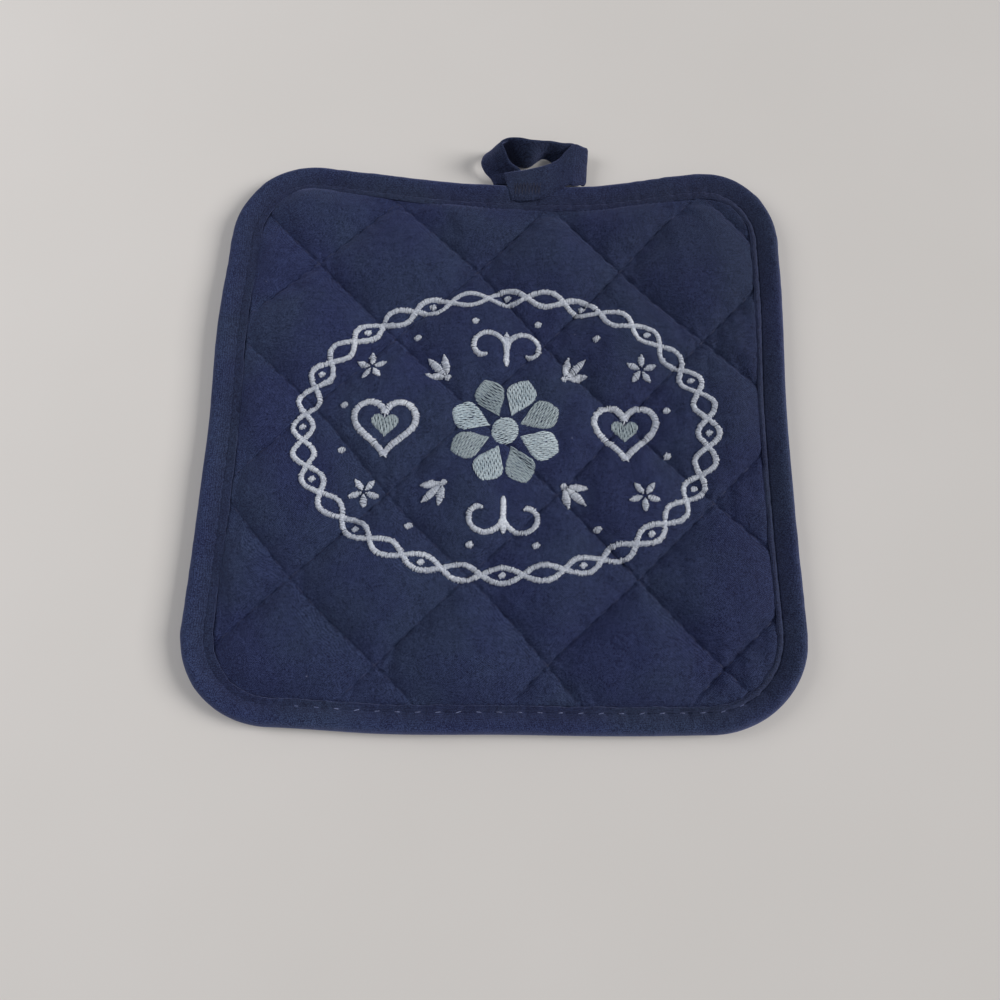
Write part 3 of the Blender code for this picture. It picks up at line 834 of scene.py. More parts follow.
TOPSTITCH_PITCH = 6.0
TOPSTITCH_SHOWS = 0.27
TOPSTITCH_HOLE = 0.21  # where a stitch goes down, as a share of the pitch
HOLE_REACH = 0.13
HOLE_PULL = (0.30, 0.36, 0.50, 0.60)
TACK_PLACE = (8.0, 87.0)
TACK_REACH = 12.0
TACK_SQUEEZE = 0.5
# unevenness along the strip: amount, length, seed
PULL_UNEVEN = ((0.10, 17.0, 41),)
LIP_UNEVEN = ((0.18, 9.0, 42), (0.20, 3.1, 43))
ROLL_UNEVEN = ((0.20, 21.0, 44), (0.10, 6.0, 45))
LIP_DRAWN = 0.16                         # how far a stitch draws the folded edge outward
DRAG, DRAG_CORNER, DRAG_CELL = 0.06, 0.16, 2.6       # slanting wrinkles, deepest in the corners
SEAM_PUCKER, SEAM_PUCKER_CELL = 0.05, 1.6
LIP_SINK = 0.22
EDGE_LIT_FULL = 1.3  # painted edge light: the binding is painted palest out to here from its edge
EDGE_LIT_NONE = 6.3  # and painted darkest, as shade along the seam's groove, from here inward


def seam_line(shares):
    """The topstitched line on the bound edge's plan, and the directions outward there."""
    points, outward = edge_frame(shares)
    return points - outward * (TOPSTITCH_INSET + by_side(outward, *SEAM_SHIFT))[:, None], outward


def build_binding():
    shares = rim_shares(BINDING_SIDE_STEPS, BINDING_CORNER_STEPS)
    points, outward = edge_frame(shares)
    travel = travelled(seam_line(np.append(shares, 1.0))[0])
    travel, whole = travel[:-1], travel[-1]
    stitches = round(whole / TOPSTITCH_PITCH)
    phase = (travel / whole * stitches + TOPSTITCH_HOLE) % 1.0
    hole = hump(np.minimum(phase, 1 - phase), HOLE_REACH)

    def uneven(table):
        return sum(amount * noise(travel, 0 * travel, cell, seed) for amount, cell, seed in table)

    x, y = points.T
    pull = uneven(PULL_UNEVEN) - by_side(outward, *HOLE_PULL) * hole
    lip = uneven(LIP_UNEVEN) - LIP_DRAWN * hole + fold_shift(x, outward)
    roll = uneven(ROLL_UNEVEN)
    seam = by_side(outward, *SEAM_SHIFT)
    groove = by_side(outward, *GROOVE_DEPTH)
    lower = by_side(outward, *LIP_LOWER)
    corner = np.clip((np.abs(x) / HALF_WIDTH + np.abs(y) / HALF_HEIGHT - 1.25) / 0.35, 0, 1)
    squeeze = TACK_SQUEEZE * bell(np.hypot(x - TACK_PLACE[0], y - TACK_PLACE[1]), TACK_REACH)
    sunk = sunk_share(x, y, outward)
    # the folded edge and its groove show most on the right and least on the left
    relief = 0.80 + 0.20 * x / HALF_WIDTH
    rows = []
    for inset, height, pulled, lipped, rolled in BINDING_OUTER:
        drag = noise(travel - 0.9 * inset, inset + 0 * travel, DRAG_CELL, 46)
        z = height + pulled * pull + rolled * (roll + drag * (DRAG + DRAG_CORNER * corner))
        if height > UPPER_FROM:
            if inset > LIP_FROM:
                z = LIP_LEVEL + (z - LIP_LEVEL) * relief - lower * lipped
            z -= groove * np.interp(inset, (2.4, TOPSTITCH_INSET, 9.4), (0.0, 1.0, 0.43))
        z -= squeeze * height / ROLL_HEIGHT
        z -= LIP_SINK * sunk * lipped * (height > LIP_TOP)
        z += SEAM_PUCKER * pulled * noise(travel, inset + 0 * travel, SEAM_PUCKER_CELL, 47)
        inner = inset + lipped * lip + seam * (pulled if pulled > 0 else -2 * pulled)
        rows.append(np.column_stack([points - outward * inner[:, None], np.maximum(z, 0.0)]))
    for inset, height in BINDING_INNER:
        z = height - squeeze * height / ROLL_HEIGHT
        if height > UPPER_FROM:
            z -= (groove + 0.22) * hump(inset - TOPSTITCH_INSET, 1.4)
        inner = inset + lip * min(max((inset - 7.0) / 1.6, 0), 1)
        rows.append(np.column_stack([points - outward * inner[:, None], z]))
    grid = np.stack(rows, axis=1)
    binding = mesh_object("edge_binding", grid.reshape(-1, 3),
                          grid_faces(*grid.shape[:2], wrap_rows=True, wrap_columns=True))
    # painted light and shade for the binding's cloth: 1, paler, at the edge, falling to 0, darker,
    # along the seam
    insets = [row[0] for row in BINDING_OUTER + BINDING_INNER]
    edge_lit_share = np.interp(insets, (EDGE_LIT_FULL, EDGE_LIT_NONE), (1.0, 0.0))
    edge_shading = binding.data.attributes.new("painted_edge_shading", "FLOAT", "POINT")
    edge_shading.data.foreach_set("value", np.tile(edge_lit_share, len(shares)).astype(np.float32))
    outer = grid[:, :len(BINDING_OUTER)]
    tree = surface_tree(outer.reshape(-1, 3), grid_faces(*outer.shape[:2], wrap_rows=True))
    return binding, tree, stitches


# ---------------- hanging loop
TAPE_ROWS = {
    # place            lower edge            upper edge
    "sewn_end":        ((-3.8, 89.3, 2.8),   (8.0, 89.3, 3.0)),
    "leaves_edge":     ((-4.8, 91.8, 2.3),   (5.9, 93.9, 4.6)),
    "near_bend":       ((-7.2, 94.9, 2.2),   (2.2, 94.3, 8.4)),
    "bend":            ((-8.4, 98.4, 2.3),   (0.1, 97.1, 11.0)),
    "far_bend":        ((-6.6, 102.4, 1.6),  (-0.9, 100.4, 11.0)),
    "far_corner":      ((-2.4, 104.4, 1.0),  (1.4, 101.8, 11.2)),
    "far_left":        ((3.4, 98.9, 0.8),    (5.2, 102.0, 11.4)),
    "far_dip":         ((8.3, 97.9, 0.8),    (9.6, 101.3, 11.2)),
    "far_peak":        ((13.4, 101.6, 0.8),  (14.8, 102.5, 9.2)),
    "far_turn":        ((17.6, 99.6, 0.8),   (20.3, 103.5, 7.2)),
    "far_right":       ((22.8, 95.6, 0.9),   (24.4, 104.4, 5.7)),
    "crease_under":    ((27.2, 90.8, 1.0),   (27.8, 103.4, 3.8)),
    "crease":          ((28.4, 90.0, 2.4),   (28.9, 103.2, 4.9)),
    "crease_over":     ((26.9, 88.4, 4.4),   (27.7, 102.8, 6.1)),
    "near_right":      ((24.2, 86.8, 6.1),   (24.3, 103.2, 6.9)),
    "near_rise":       ((22.4, 87.0, 6.3),   (21.4, 100.6, 6.8)),
    "near_middle":     ((20.3, 85.9, 6.4),   (18.6, 97.2, 6.4)),
    "tack_right":      ((14.2, 82.7, 6.0),   (13.9, 94.6, 6.5)),
    "tack_middle":     ((7.9, 81.4, 5.75),   (7.4, 93.0, 6.4)),
    "tacked_end":      ((2.8, 81.6, 5.45),   (-0.4, 91.8, 5.9)),
}
TAPE_STEPS = 18
TAPE_WIDTH_STEPS = 16
TAPE_WIDTH = 12.0
TAPE_HALF_THICKNESS = 0.52
TAPE_RIPPLE = (0.16, 0.10)               # heights of the tape's two ripples
TAPE_EASE = 5.0                          # they start this far from its ends
TAPE_PRESSED = 0.45                      # share of its thickness at the tacked end...
TAPE_PRESSED_LENGTH = 4.0                # ...and the length over which it grows
TACK_SINK, TACK_DENT, TACK_SIDE = 0.12, 0.20, 0.9
TACK_BOX = (3.4, 12.6, 83.4, 88.0)  # left, right, low, high
TACK_PITCH = 1.15
TACKED_FROM = 15.4  # row from which the lower edge is drawn down
TACKED_DRAW = 1.0


def tape_caps(rows):
    """The faces that close both ends of the tape's tube, whose points run round row by row."""
    columns = 2 * TAPE_WIDTH_STEPS
    caps = []
    for row, flip in ((0, 1), (rows - 1, -1)):
        for k in range(TAPE_WIDTH_STEPS):
            corners = (k, k + 1, (columns - k - 1) % columns, (columns - k) % columns)
            caps.append([row * columns + corner for corner in dict.fromkeys(corners)][::flip])
    return caps


def build_loop():
    lower, upper = (eased([row[edge] for row in TAPE_ROWS.values()], TAPE_STEPS)[:, None]
                    for edge in (0, 1))
    shares = (1 - np.cos(np.linspace(0, math.pi, TAPE_WIDTH_STEPS + 1))) / 2
    centre = lower * (1 - shares[:, None]) + upper * shares[:, None]
    # the tacked end's lower edge is drawn down to the binding
    turn = np.arange(len(centre)) / TAPE_STEPS - TACKED_FROM
    drawn = np.clip(turn[:, None] / 2.2, 0, 1) * np.clip(1 - shares[None] / 0.34, 0, 1) ** 1.4
    centre[..., 2] -= TACKED_DRAW * drawn
    normal = unit(np.cross(np.gradient(centre, axis=0), np.gradient(centre, axis=1)))
    for _ in range(2):
        normal[1:-1] = (normal[:-2] + 2 * normal[1:-1] + normal[2:]) / 4
        normal = unit(normal)
    travel = travelled(centre.mean(axis=1))
    length = travel[-1]
    run, wide = np.meshgrid(travel, shares * TAPE_WIDTH, indexing="ij")
    ripples = (noise(run, wide * 0.5, 3.4, 61), noise(run * 0.6, wide, 2.0, 62))
    ripple = TAPE_RIPPLE[0] * ripples[0] + TAPE_RIPPLE[1] * ripples[1]
    ease = np.clip(np.minimum(run, length - run) / TAPE_EASE, 0, 1)
    centre = centre + normal * (ripple * ease)[..., None]
    # the bar tack draws the tape down in small dents
    left, right, low, high = TACK_BOX
    x, y = centre[..., 0], centre[..., 1]
    beside_x = np.maximum(np.maximum(left - x, x - right), 0)
    beside_y = np.maximum(np.maximum(low - y, y - high), 0)
    tacked = hump(np.hypot(beside_x, beside_y), TACK_SIDE) * (run > length * 0.8)
    dents = 0.5 + 0.5 * np.cos(FULL_TURN * (x - left + 0.25 * (y - low)) / TACK_PITCH)
    centre[..., 2] -= tacked * (TACK_SINK + TACK_DENT * dents)
    # rounded folded edges, a little fuller than the flat middle
    edge = np.abs(2 * shares - 1)
    half = TAPE_HALF_THICKNESS * (1 - edge ** 10) ** 0.5 * (0.86 + 0.22 * hump(edge - 0.86, 0.1))
    grown = np.clip((length - travel) / TAPE_PRESSED_LENGTH, 0, 1)
    pressed = TAPE_PRESSED + (1 - TAPE_PRESSED) * grown
    thick = normal * (pressed[:, None] * half[None])[..., None]
    ring = np.concatenate([centre + thick, (centre - thick)[:, 1:-1][:, ::-1]], axis=1)
    points = ring.reshape(-1, 3)
    faces = grid_faces(*ring.shape[:2], wrap_columns=True)
    loop = mesh_object("hanging_tape", points, faces)
    shape = bmesh.new()
    shape.from_mesh(loop.data)
    shape.verts.ensure_lookup_table()
    for cap in tape_caps(len(ring)):
        shape.faces.new([shape.verts[v] for v in cap]).smooth = True
    bmesh.ops.recalc_face_normals(shape, faces=shape.faces)
    shape.to_mesh(loop.data)
    shape.free()
    return loop, surface_tree(points, faces)


# ---------------- threads
THREAD_SECTION = np.array([(-1.0, -0.25), (-0.55, 0.62), (0.55, 0.62), (1.0, -0.25)])
THREAD_SIDES = 6
SATIN_PITCH = 0.35
SATIN_PLACES = 7
SATIN_LIFT = 0.62
SATIN_HALF_WIDTH = 0.175
SATIN_LEAN = 0.16
SATIN_UNEVEN, SATIN_SLIDE = 0.12, 0.05   # spread of the threads' ends and places
FILL_PITCH = 0.39
FILL_STITCH = 4.2
FILL_SHORTEST = 0.8
FILL_SHIFT = 0.37  # of a stitch, from row to row
FILL_PLACES = 5
FILL_LIFT = 0.34
FILL_UNEVEN = 0.08
THREAD_UNEVEN, THREAD_SINK = 0.03, 0.12  # how the threads' heights vary and how deep they lie
FILL_HALF_WIDTH = 0.165
EMBROIDERY_THICKNESS = 0.20
TAPER_7 = np.array([0.35, 0.85, 1, 1, 1, 0.85, 0.35])
TAPER_8 = np.array([0.35, 0.8, 1, 1, 1, 1, 0.8, 0.35])
TACK_TAPER = np.array([0.4, 0.85, 1, 1, 1, 1, 0.85, 0.4])
QUILT_RADIUS = 0.15
QUILT_FROM = 9.9               # quilting stitches show this far in from the bound edge
TOPSTITCH_RADIUS = 0.125
TACK_RADIUS = 0.15


def thread_faces(threads, places, sides, closed):
    """Faces of equal threads, one after another."""
    base = grid_faces(places, sides, wrap_columns=closed)
    if closed:
        base = base[:, ::-1]
    return (base[None] + (np.arange(threads) * places * sides)[:, None, None]).reshape(-1, 4)


def ribbon_threads(lines, lifts, half_widths, thickness):
    """Low rounded threads: lines is (threads, places, 3), lifts the height at each place."""
    along = np.gradient(lines, axis=1)
    along[..., 2] = 0
    along = unit(along)
    sideways = np.stack([-along[..., 1], along[..., 0], 0 * along[..., 0]], 2)
    points = np.zeros((*lines.shape[:2], len(THREAD_SECTION), 3))
    for k, (side, up) in enumerate(THREAD_SECTION):
        points[:, :, k] = lines + sideways * (side * half_widths)[..., None]
        points[:, :, k, 2] += lifts + up * thickness
    return points.reshape(-1, 3), thread_faces(*points.shape[:3], closed=False)


def round_threads(name, paths, radii):
    """An object of round threads through equal numbers of points, closing to their ends."""
    paths = np.asarray(paths, float)
    along = unit(np.gradient(paths, axis=1))
    sideways = unit(np.cross(along, np.array([0.0, 0.0, 1.0])))
    upward = np.cross(sideways, along)
    angle = (np.arange(THREAD_SIDES) * FULL_TURN / THREAD_SIDES)[:, None]
    ring = np.cos(angle) * sideways[:, :, None] + np.sin(angle) * upward[:, :, None]
    points = paths[:, :, None] + ring * radii[None, :, None, None]
    return mesh_object(name, points.reshape(-1, 3), thread_faces(*points.shape[:3], closed=True))


def width_course(course, share):
    if course == "grain":
        return np.sin(math.pi * np.clip(share, 0.02, 0.98)) ** 0.6
    if course == "dot":
        return np.sqrt(np.maximum(arch(share, 2), 0.08))
    return np.minimum(1.0, 0.55 + 9 * np.minimum(share, 1 - share))


def satin_lines(path, width, course, rng):
    """Threads laid across a line: (threads, places, 2)."""
    closed = np.linalg.norm(path[0] - path[-1]) < 0.01
    path = resample(path, SATIN_PITCH)
    run = np.gradient(path, axis=0)
    if closed:
        run[0] = run[-1] = path[1] - path[-2]
    run = unit(run)
    across = np.stack([-run[:, 1], run[:, 0]], 1)
    count = len(path)
    half = np.full(count, width / 2)
    if not closed:
        half *= width_course(course, np.linspace(0, 1, count))
    left, right = (half + rng.normal(0, SATIN_UNEVEN, count) for _ in BOTH)
    slide = rng.normal(0, SATIN_SLIDE, count)
    places = np.linspace(-1, 1, SATIN_PLACES)
    reach = np.where(places[None] < 0, left[:, None], right[:, None]) * places[None]
    return (path[:, None] + across[:, None] * reach[..., None]
            + run[:, None] * (SATIN_LEAN * reach + slide[:, None])[..., None])


def fill_lines(outline, way, rng):
    """Rows of running stitches inside an outline: (stitches, places, 2)."""
    start = rotated(outline, -way)
    end = np.roll(start, -1, axis=0)
    stitches = []
    levels = np.arange(start[:, 1].min() + FILL_PITCH / 2, start[:, 1].max(), FILL_PITCH)
    for row, level in enumerate(levels):
        crossing = (start[:, 1] > level) != (end[:, 1] > level)
        (x0, y0), (x1, y1) = start[crossing].T, end[crossing].T
        cuts = np.sort(x0 + (level - y0) / (y1 - y0) * (x1 - x0))
        for left, right in zip(cuts[::2], cuts[1::2]):
            left += rng.normal(0, FILL_UNEVEN)
            right += rng.normal(0, FILL_UNEVEN)
            first = (np.floor(left / FILL_STITCH) + (row * FILL_SHIFT) % 1.0) * FILL_STITCH
            first += rng.normal(0, 0.2)
            inner = [place for place in np.arange(first, right, FILL_STITCH)
                     if left + FILL_SHORTEST < place < right - FILL_SHORTEST]
            ends = [left, *inner, right]
            for a, b in zip(ends[:-1], ends[1:]):
                height = level + rng.normal(0, 0.025)
                run = np.linspace(a, b, FILL_PLACES)
                stitches.append(np.stack([run, np.full(FILL_PLACES, height)], 1))
    return rotated(np.array(stitches), way)


def laid_threads(lines, tree, lift, half_width, rng):
    """Threads laid over the face: they bridge it between their two ends and dip in at each end."""
    threads, places = lines.shape[:2]
    ends = np.concatenate([lines[:, 0], lines[:, -1]])
    ends = heights_on(tree, ends, CHANNEL_Z).reshape(2, threads)
    middle = heights_on(tree, lines[:, places // 2], CHANNEL_Z)
    share = np.linspace(0, 1, places)
    chord = ends[0][:, None] * (1 - share) + ends[1][:, None] * share
    rise = np.maximum(middle - (ends[0] + ends[1]) / 2, 0)[:, None] * arch(share, 2)
    own = rng.normal(0, THREAD_UNEVEN, threads)[:, None]
    lifts = chord + rise + lift * arch(share, 4) + own - THREAD_SINK
    full = np.concatenate([lines, np.zeros((threads, places, 1))], axis=2)
    widths = np.full((threads, places), half_width) * (0.78 + 0.22 * arch(share, 6))
    return ribbon_threads(full, lifts, widths, EMBROIDERY_THICKNESS)


def joined(parts):
    """One point list and face list from several."""
    starts = np.cumsum([0] + [len(points) for points, _faces in parts])
    return (np.concatenate([points for points, _faces in parts]),
            np.concatenate([faces + start for (_points, faces), start in zip(parts, starts)]))


def build_embroidery(tree):
    rng = np.random.default_rng(71)
    meshes = {"silver": [], "pale": [], "grey": []}
    for path, width, course in STROKES:
        lines = satin_lines(path, width, course, rng)
        meshes["silver"].append(laid_threads(lines, tree, SATIN_LIFT, SATIN_HALF_WIDTH, rng))
    for outline, way, colour_name in FILLS:
        lines = fill_lines(outline, way, rng)
        meshes[colour_name].append(laid_threads(lines, tree, FILL_LIFT, FILL_HALF_WIDTH, rng))
    return {key: mesh_object("embroidery_" + key, *joined(parts)) for key, parts in meshes.items()}


def build_quilting_thread(tree):
    """The visible stitches of the quilting, lying in its channels."""
    shapes = []
    share = np.linspace(0, 1, len(TAPER_7))
    stitches = np.arange(-26, 27)
    for lines, seed in ((FALL_LINES, FALL_SEED), (RISE_LINES, RISE_SEED)):
        for line in range(FIRST_LINE, FIRST_LINE + len(lines)):
            offset = stitch_phase(np.array(line), 0.0, seed)
            start = (stitches - offset + (1 - STITCH_SHARE) / 2) * STITCH_PITCH
            along = (start[:, None] + share * STITCH_PITCH * STITCH_SHARE).ravel()
            across = across_family(lines, np.full(len(along), float(line)), along)
            x, y = plan_of(across, along) if seed == FALL_SEED else plan_of(along, across)
            inward = edge_place(x, y, EDGE_SAMPLES // 2)[0]
            x, y, inward = (values.reshape(len(stitches), -1) for values in (x, y, inward))
            shown = (inward > QUILT_FROM).all(axis=1)
            if not shown.any():
                continue
            x, y = x[shown], y[shown]
            z = heights_on(tree, np.stack([x.ravel(), y.ravel()], 1), CHANNEL_Z).reshape(x.shape)
            level = z.mean(axis=1, keepdims=True)
            z = level + 0.16 * arch(share, 2) + 0.3 * (z - level) - 0.07
            shapes.append(np.stack([x, y, z], 2))
    return round_threads("quilting_thread", np.concatenate(shapes), QUILT_RADIUS * TAPER_7)


def build_topstitching(tree, stitches):
    """The visible stitches of the binding, in its groove and underneath."""
    rng = np.random.default_rng(81)
    dense = np.linspace(0, 1, 4001)
    travel = travelled(seam_line(dense)[0])
    share = np.linspace(0, 1, len(TAPER_8))
    places = (np.arange(stitches)[:, None] + 0.5 + (share[None] - 0.5) * TOPSTITCH_SHOWS).ravel()
    line, outward = seam_line(np.interp(places * travel[-1] / stitches, travel[:-1], dense[:-1]))
    slant = rng.normal(0, 0.12, stitches)
    plan = line - outward * (slant[:, None] * (2 * share[None] - 1)).reshape(-1, 1)
    z = heights_on(tree, plan, 5.0)
    # the stitches stand out along the foot and sink in along the other sides
    footed = by_side(outward, 0.0, 0.0, 0.0, 1.0) ** 4 * np.clip((plan[:, 0] + 66.0) / 30.0, 0, 1)
    z = (z - 0.30 + 0.40 * footed).reshape(stitches, -1) + 0.16 * arch(share, 4)
    over = np.concatenate([plan.reshape(stitches, -1, 2), z[..., None]], axis=2)
    under = over.copy()
    under[..., 2] = 0.24 - 0.06 * arch(share, 4)
    return round_threads("binding_topstitch", np.concatenate([over, under]),
                         TOPSTITCH_RADIUS * TAPER_8)


def build_bar_tack(tree):
    """A close zigzag that fastens the loop's end to the binding."""
    rng = np.random.default_rng(91)
    left, right, low, high = TACK_BOX
    count = 2 * round((right - left) / TACK_PITCH)
    x = np.linspace(left, right, count + 1)
    share = np.linspace(0, 1, len(TACK_TAPER))
    paths = []
    for k in range(count):
        aside = 0.0 if k % 2 else 0.1
        x0, x1 = x[k] + aside, x[k + 1] + aside
        y0, y1 = (low, high) if k % 2 else (high, low)
        plan = np.stack([x0 + (x1 - x0) * share + rng.normal(0, 0.05),
                         y0 + (y1 - y0) * share + rng.normal(0, 0.18)], 1)
        z = heights_on(tree, plan, 7.0) + 0.12 * arch(share, 6) - 0.10
        paths.append(np.column_stack([plan, z]))
    return round_threads("bar_tack", paths, TACK_RADIUS * TACK_TAPER)


# ---------------- materials
class Nodes:
    """Small helper for building a node tree by name."""

    def __init__(self, name):
        self.material = bpy.data.materials.new(name)
        self.material.use_nodes = True
        self.tree = self.material.node_tree
        self.shader = self.tree.nodes["Principled BSDF"]

    def set(self, socket, value):
        if isinstance(value, bpy.types.NodeSocket):
            self.tree.links.new(value, socket)
        else:
            socket.default_value = value

    def add(self, kind, inputs=None, **settings):
        node = self.tree.nodes.new("ShaderNode" + kind)
        for key, value in settings.items():
            setattr(node, key, value)
        for key, value in (inputs or {}).items():
            self.set(node.inputs[key], value)
        return node

    def shaded(self, inputs):
        """Set the shader's inputs, and return the material."""
        for key, value in inputs.items():
            self.set(self.shader.inputs[key], value)
        return self.material

    def math(self, operation, a, b=0.0):
        return self.add("Math", {0: a, 1: b}, operation=operation).outputs[0]

    def chain(self, operation, first, *others):
        for other in others:
            first = self.math(operation, first, other)
        return first

    def plus(self, *values):
        return self.chain("ADD", *values)

    def times(self, *values):
        return self.chain("MULTIPLY", *values)

    def centred(self, value, weight):
        """A value from 0 to 1 turned into one on both sides of 0."""
        return self.times(self.math("SUBTRACT", value, 0.5), weight)

    def clamped(self, value):
        return self.add("Clamp", {"Value": value}).outputs[0]

    def place(self, output="Object"):
        return self.add("TexCoord").outputs[output]

    def split(self, vector):
        return self.add("SeparateXYZ", {"Vector": vector}).outputs

    def noise(self, vector, scale, detail):
        inputs = {"Vector": vector, "Scale": scale, "Detail": detail}
        return self.add("TexNoise", inputs).outputs["Fac"]

    def ranged(self, value, low, high, to_low, to_high):
        return self.add("MapRange", {"Value": value, "From Min": low, "From Max": high,
                                     "To Min": to_low, "To Max": to_high}).outputs[0]

    def mix(self, factor, a, b):
        inputs = {"Factor": factor, "A": a, "B": b}
        return self.add("Mix", inputs, data_type="RGBA").outputs["Result"]

    def bump(self, height, strength, distance, **normal):
        inputs = {"Height": height, "Strength": strength, "Distance": distance, **normal}
        return self.add("Bump", inputs).outputs["Normal"]


def colour(hexed):
    """Linear colour of an sRGB hex string."""
    values = [int(hexed[k:k + 2], 16) / 255 for k in (0, 2, 4)]
    linear = (v / 12.92 if v <= 0.04045 else ((v + 0.055) / 1.055) ** 2.4 for v in values)
    return (*linear, 1.0)


WEAVE_PITCH = 0.66 * MM
WEAVE_DRIFT = 1.4 * WEAVE_PITCH  # how far the yarns wander from straight
SLUB_ACROSS = 0.8 / WEAVE_PITCH
SLUB_ALONG = 240.0
SHADE_WEIGHTS = (0.9, 0.5, 0.5, 4.4, 2.2, 0.35)  # yarns, slubs, fibres, heather, fading
LINT_COLOUR = colour("9aa0b8")
# colour of the painted sheen on the binding's rolled edge
PAINTED_LIMB_COLOUR = colour("565f84")
SHEEN_COLOUR = colour("8a92c4")


def cloth(name, dark, light, bias=0.0, sheen=0.35, painted_edge_light=0.0, painted_bright_value=1.03, painted_bright_until=-0.02):
    """Plain-woven cotton: crossing yarns, heathered yarn colours, slight fading and lint, with
    painted light: darker towards the right top corner and, on the binding, paler at its rolled edge.
    """
    n = Nodes(name)
    here = n.place()
    turned = n.add("Mapping", {"Vector": here, "Rotation": (0.0, 0.0, bias)}).outputs["Vector"]
    x, y, z = n.split(turned)
    upright = n.times(z, 0.7)
    drift = n.centred(n.noise(turned, 230.0, 2.0), WEAVE_DRIFT)
    across = n.plus(x, upright, drift)
    along = n.math("SUBTRACT", n.plus(y, upright), drift)
    waves = [n.math("SINE", n.times(run, FULL_TURN / WEAVE_PITCH)) for run in (across, along)]
    yarns = n.plus(n.times(*waves, 0.5), 0.5)
    # slubs: each yarn's own shade over a few millimetres of its length
    slubs = []
    for scale_x, scale_y in ((SLUB_ACROSS, SLUB_ALONG), (SLUB_ALONG, SLUB_ACROSS)):
        spot = n.add("CombineXYZ", {"X": n.times(across, scale_x), "Y": n.times(along, scale_y)})
        slubs.append(n.noise(spot.outputs[0], 1.0, 1.0))
    fibres = n.noise(turned, 4200.0, 2.0)
    heather = n.noise(turned, 2900.0, 1.0)
    fade = n.noise(turned, 55.0, 4.0)
    parts = zip((yarns, *slubs, fibres, heather, fade), SHADE_WEIGHTS)
    shade = n.plus(*(n.centred(value, weight) for value, weight in parts), 0.47)
    base = n.mix(n.clamped(shade), dark, light)
    # the dye reads redder in some places and greyer in others
    toned = n.ranged(n.noise(turned, 34.0, 3.0), 0.38, 0.62, -1.0, 1.0)
    hue = n.plus(0.5, n.times(toned, 0.006))
    strength = n.plus(0.95, n.times(toned, 0.03))
    # painted shade and light: the cloth is painted darker towards the right top corner and paler
    # towards the left foot corner, for light that falls off across it
    here_x, here_y, _here_z = n.split(here)
    painted_light_value = n.ranged(n.plus(here_x, n.times(here_y, 0.6)), painted_bright_until, 0.15, painted_bright_value, 0.77)
    if painted_edge_light:
        # painted light and shade: the binding is painted paler towards its edge and darker along its
        # seam's groove
        edge_shading = n.add("Attribute", attribute_name="painted_edge_shading").outputs["Fac"]
        painted_light_value = n.times(painted_light_value, n.plus(0.84, n.times(edge_shading, 0.46)))
    base = n.add("HueSaturation", {"Hue": hue, "Saturation": strength, "Value": painted_light_value,
                                   "Color": base}).outputs["Color"]
    if painted_edge_light:
        # painted sheen: the roll of the edge is painted paler the more it tilts from flat, as if lit
        # at its rim
        level = n.split(n.place("Normal"))["Z"]
        tilt = n.math("SUBTRACT", 1.0, n.math("MAXIMUM", level, 0.0))
        base = n.mix(n.times(tilt, n.times(fade, 2.0 * painted_edge_light)), base, PAINTED_LIMB_COLOUR)
    # lint
    cells = n.add("TexVoronoi", {"Vector": here, "Scale": 120.0, "Randomness": 1.0})
    speck = n.math("LESS_THAN", cells.outputs["Distance"], 0.026)
    speck = n.times(speck, n.math("GREATER_THAN", n.noise(here, 37.0, 0.0), 0.60))
    relief = n.plus(n.times(yarns, 0.5), n.times(fibres, 0.9), n.times(heather, 1.5))
    fine = n.bump(relief, 0.55, 0.00016)
    return n.shaded({
        "Base Color": n.mix(n.times(speck, 0.35), base, LINT_COLOUR),
        "Roughness": n.plus(n.times(fibres, 0.16), 0.78),
        "Specular IOR Level": 0.25,
        "Sheen Weight": sheen,
        "Sheen Roughness": 0.40,
        "Sheen Tint": SHEEN_COLOUR,
        "Normal": n.bump(n.noise(turned, 210.0, 3.0), 0.35, 0.0012, Normal=fine),
    })


def thread(name, dark, light, roughness, sheen):
    """Spun or filament thread: fine lengthwise sheen and a slight change from thread to thread."""
    n = Nodes(name)
    here = n.place()
    sizes = ((2100.0, 1.0), (5200.0, 2.0), (90.0, 2.0))
    own, ply, wide = (n.noise(here, *size) for size in sizes)
    shade = n.plus(n.times(own, 1.7), n.times(ply, 0.8), n.times(wide, 0.8))
    return n.shaded({
        "Base Color": n.mix(n.clamped(n.math("SUBTRACT", shade, 1.15)), dark, light),
        "Roughness": roughness,
        "Specular IOR Level": 0.55,
        "Sheen Weight": sheen,
        "Sheen Roughness": 0.35,
        "Normal": n.bump(ply, 0.4, 0.00006),
    })


def floor_material():
    n = Nodes("pale_floor")
    tone = n.mix(n.noise(n.place(), 12.0, 3.0), colour("dedad5"), colour("e4e0dc"))
    return n.shaded({"Base Color": tone, "Roughness": 0.85})


# ---------------- floor and light
FLOOR_HALF = 3.0  # metres
FLOOR_LEVEL = -0.00003  # just under the cloth, so that no face is shared
WORLD_COLOUR = (0.93, 0.95, 1.0, 1.0)
WORLD_STRENGTH = 0.23
LIGHTS = (
    # name, place, energy, size, tint
    ("key", (5.75, 0.15, 3.38), 352.0, 2.75, (1.0, 0.985, 0.97)),
    ("fill", (-0.70, 0.14, 0.55), 2.6, 0.5, (0.98, 0.98, 1.0)),
)


def build_floor():
    mesh = bpy.data.meshes.new("floor")
    corners = [(x * FLOOR_HALF, y * FLOOR_HALF, FLOOR_LEVEL)
               for x, y in ((-1, -1), (1, -1), (1, 1), (-1, 1))]
    mesh.from_pydata(corners, [], [(0, 1, 2, 3)])
    floor = add_object("floor", mesh)
    mesh.materials.append(floor_material())


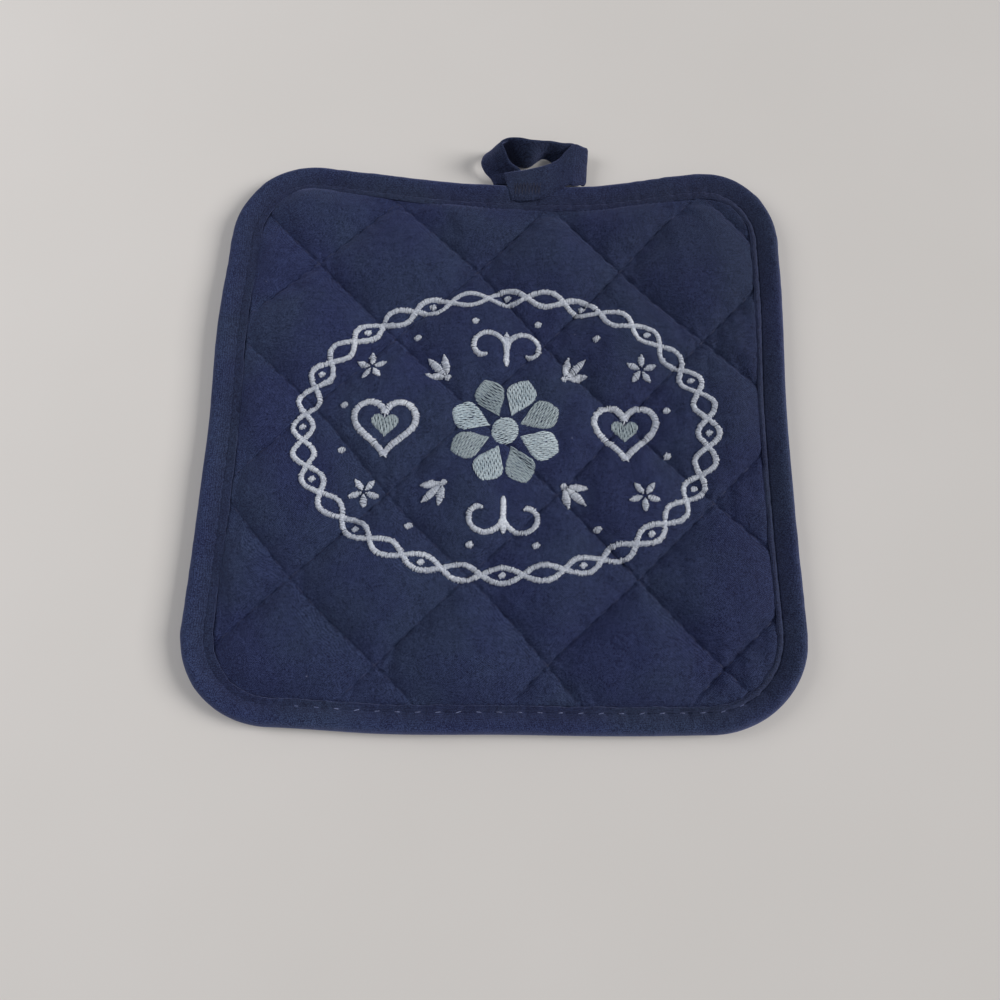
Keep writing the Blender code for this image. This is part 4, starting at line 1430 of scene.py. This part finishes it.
def build_light():
    world = bpy.data.worlds.new("world")
    world.use_nodes = True
    background = world.node_tree.nodes["Background"]
    background.inputs["Color"].default_value = WORLD_COLOUR
    background.inputs["Strength"].default_value = WORLD_STRENGTH
    bpy.context.scene.world = world
    bpy.context.scene.view_settings.view_transform = "Standard"
    for name, place, energy, size, tint in LIGHTS:
        data = bpy.data.lights.new(name, "AREA")
        data.energy = energy
        data.size = size
        data.color = tint
        light = add_object(name, data)
        light.location = place
        light.rotation_euler = Vector(place).to_track_quat("Z", "Y").to_euler()


# ---------------- putting it together
def finish_piece(piece, material, slot, *replaced):
    piece.data.materials.append(material)
    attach(piece, "root")
    if replaced:
        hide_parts(*replaced)


make_camera()
build_floor()
build_light()

face_cloth = cloth("navy_face_weave", colour("080d2f"), colour("324067"))
binding_cloth = cloth("navy_binding_weave", colour("080d2c"), colour("2f3c60"), bias=math.pi / 4,
                      sheen=0.40, painted_edge_light=0.60, painted_bright_value=1.13, painted_bright_until=-0.10)
tape_cloth = cloth("navy_tape_weave", colour("0a0f2c"), colour("2f3c5f"), bias=math.pi / 4,
                   sheen=0.9)
tack_thread = thread("navy_tack_thread", colour("0e132a"), colour("1f2646"), 0.75, 0.1)
navy_thread = thread("navy_sewing_thread", colour("2b3462"), colour("8591bd"), 0.36, 0.3)
quilt_thread = thread("navy_quilting_thread", colour("10173a"), colour("2f3864"), 0.55, 0.15)
EMBROIDERY_THREADS = {
    "silver": thread("silver_satin_thread", colour("969fb4"), colour("eff3fa"), 0.34, 0.2),
    "pale": thread("pale_fill_thread", colour("a3b8c4"), colour("e8f3f7"), 0.36, 0.2),
    "grey": thread("grey_fill_thread", colour("84969f"), colour("c4d1d6"), 0.36, 0.2),
}

pad, pad_tree = build_pad()
finish_piece(pad, face_cloth, "face_cloth", "quilted_pad")

binding, binding_tree, topstitches = build_binding()
finish_piece(binding, binding_cloth, "binding_cloth", "binding")

loop, loop_tree = build_loop()
finish_piece(loop, tape_cloth, "tape_cloth", "hanging_loop")

topstitch = build_topstitching(binding_tree, topstitches)
finish_piece(topstitch, navy_thread, "binding_cloth")
tack = build_bar_tack(loop_tree)
finish_piece(tack, tack_thread, "tape_cloth")
quilting = build_quilting_thread(pad_tree)
finish_piece(quilting, quilt_thread, "face_cloth")

for key, piece in build_embroidery(pad_tree).items():
    finish_piece(piece, EMBROIDERY_THREADS[key], "face_cloth")
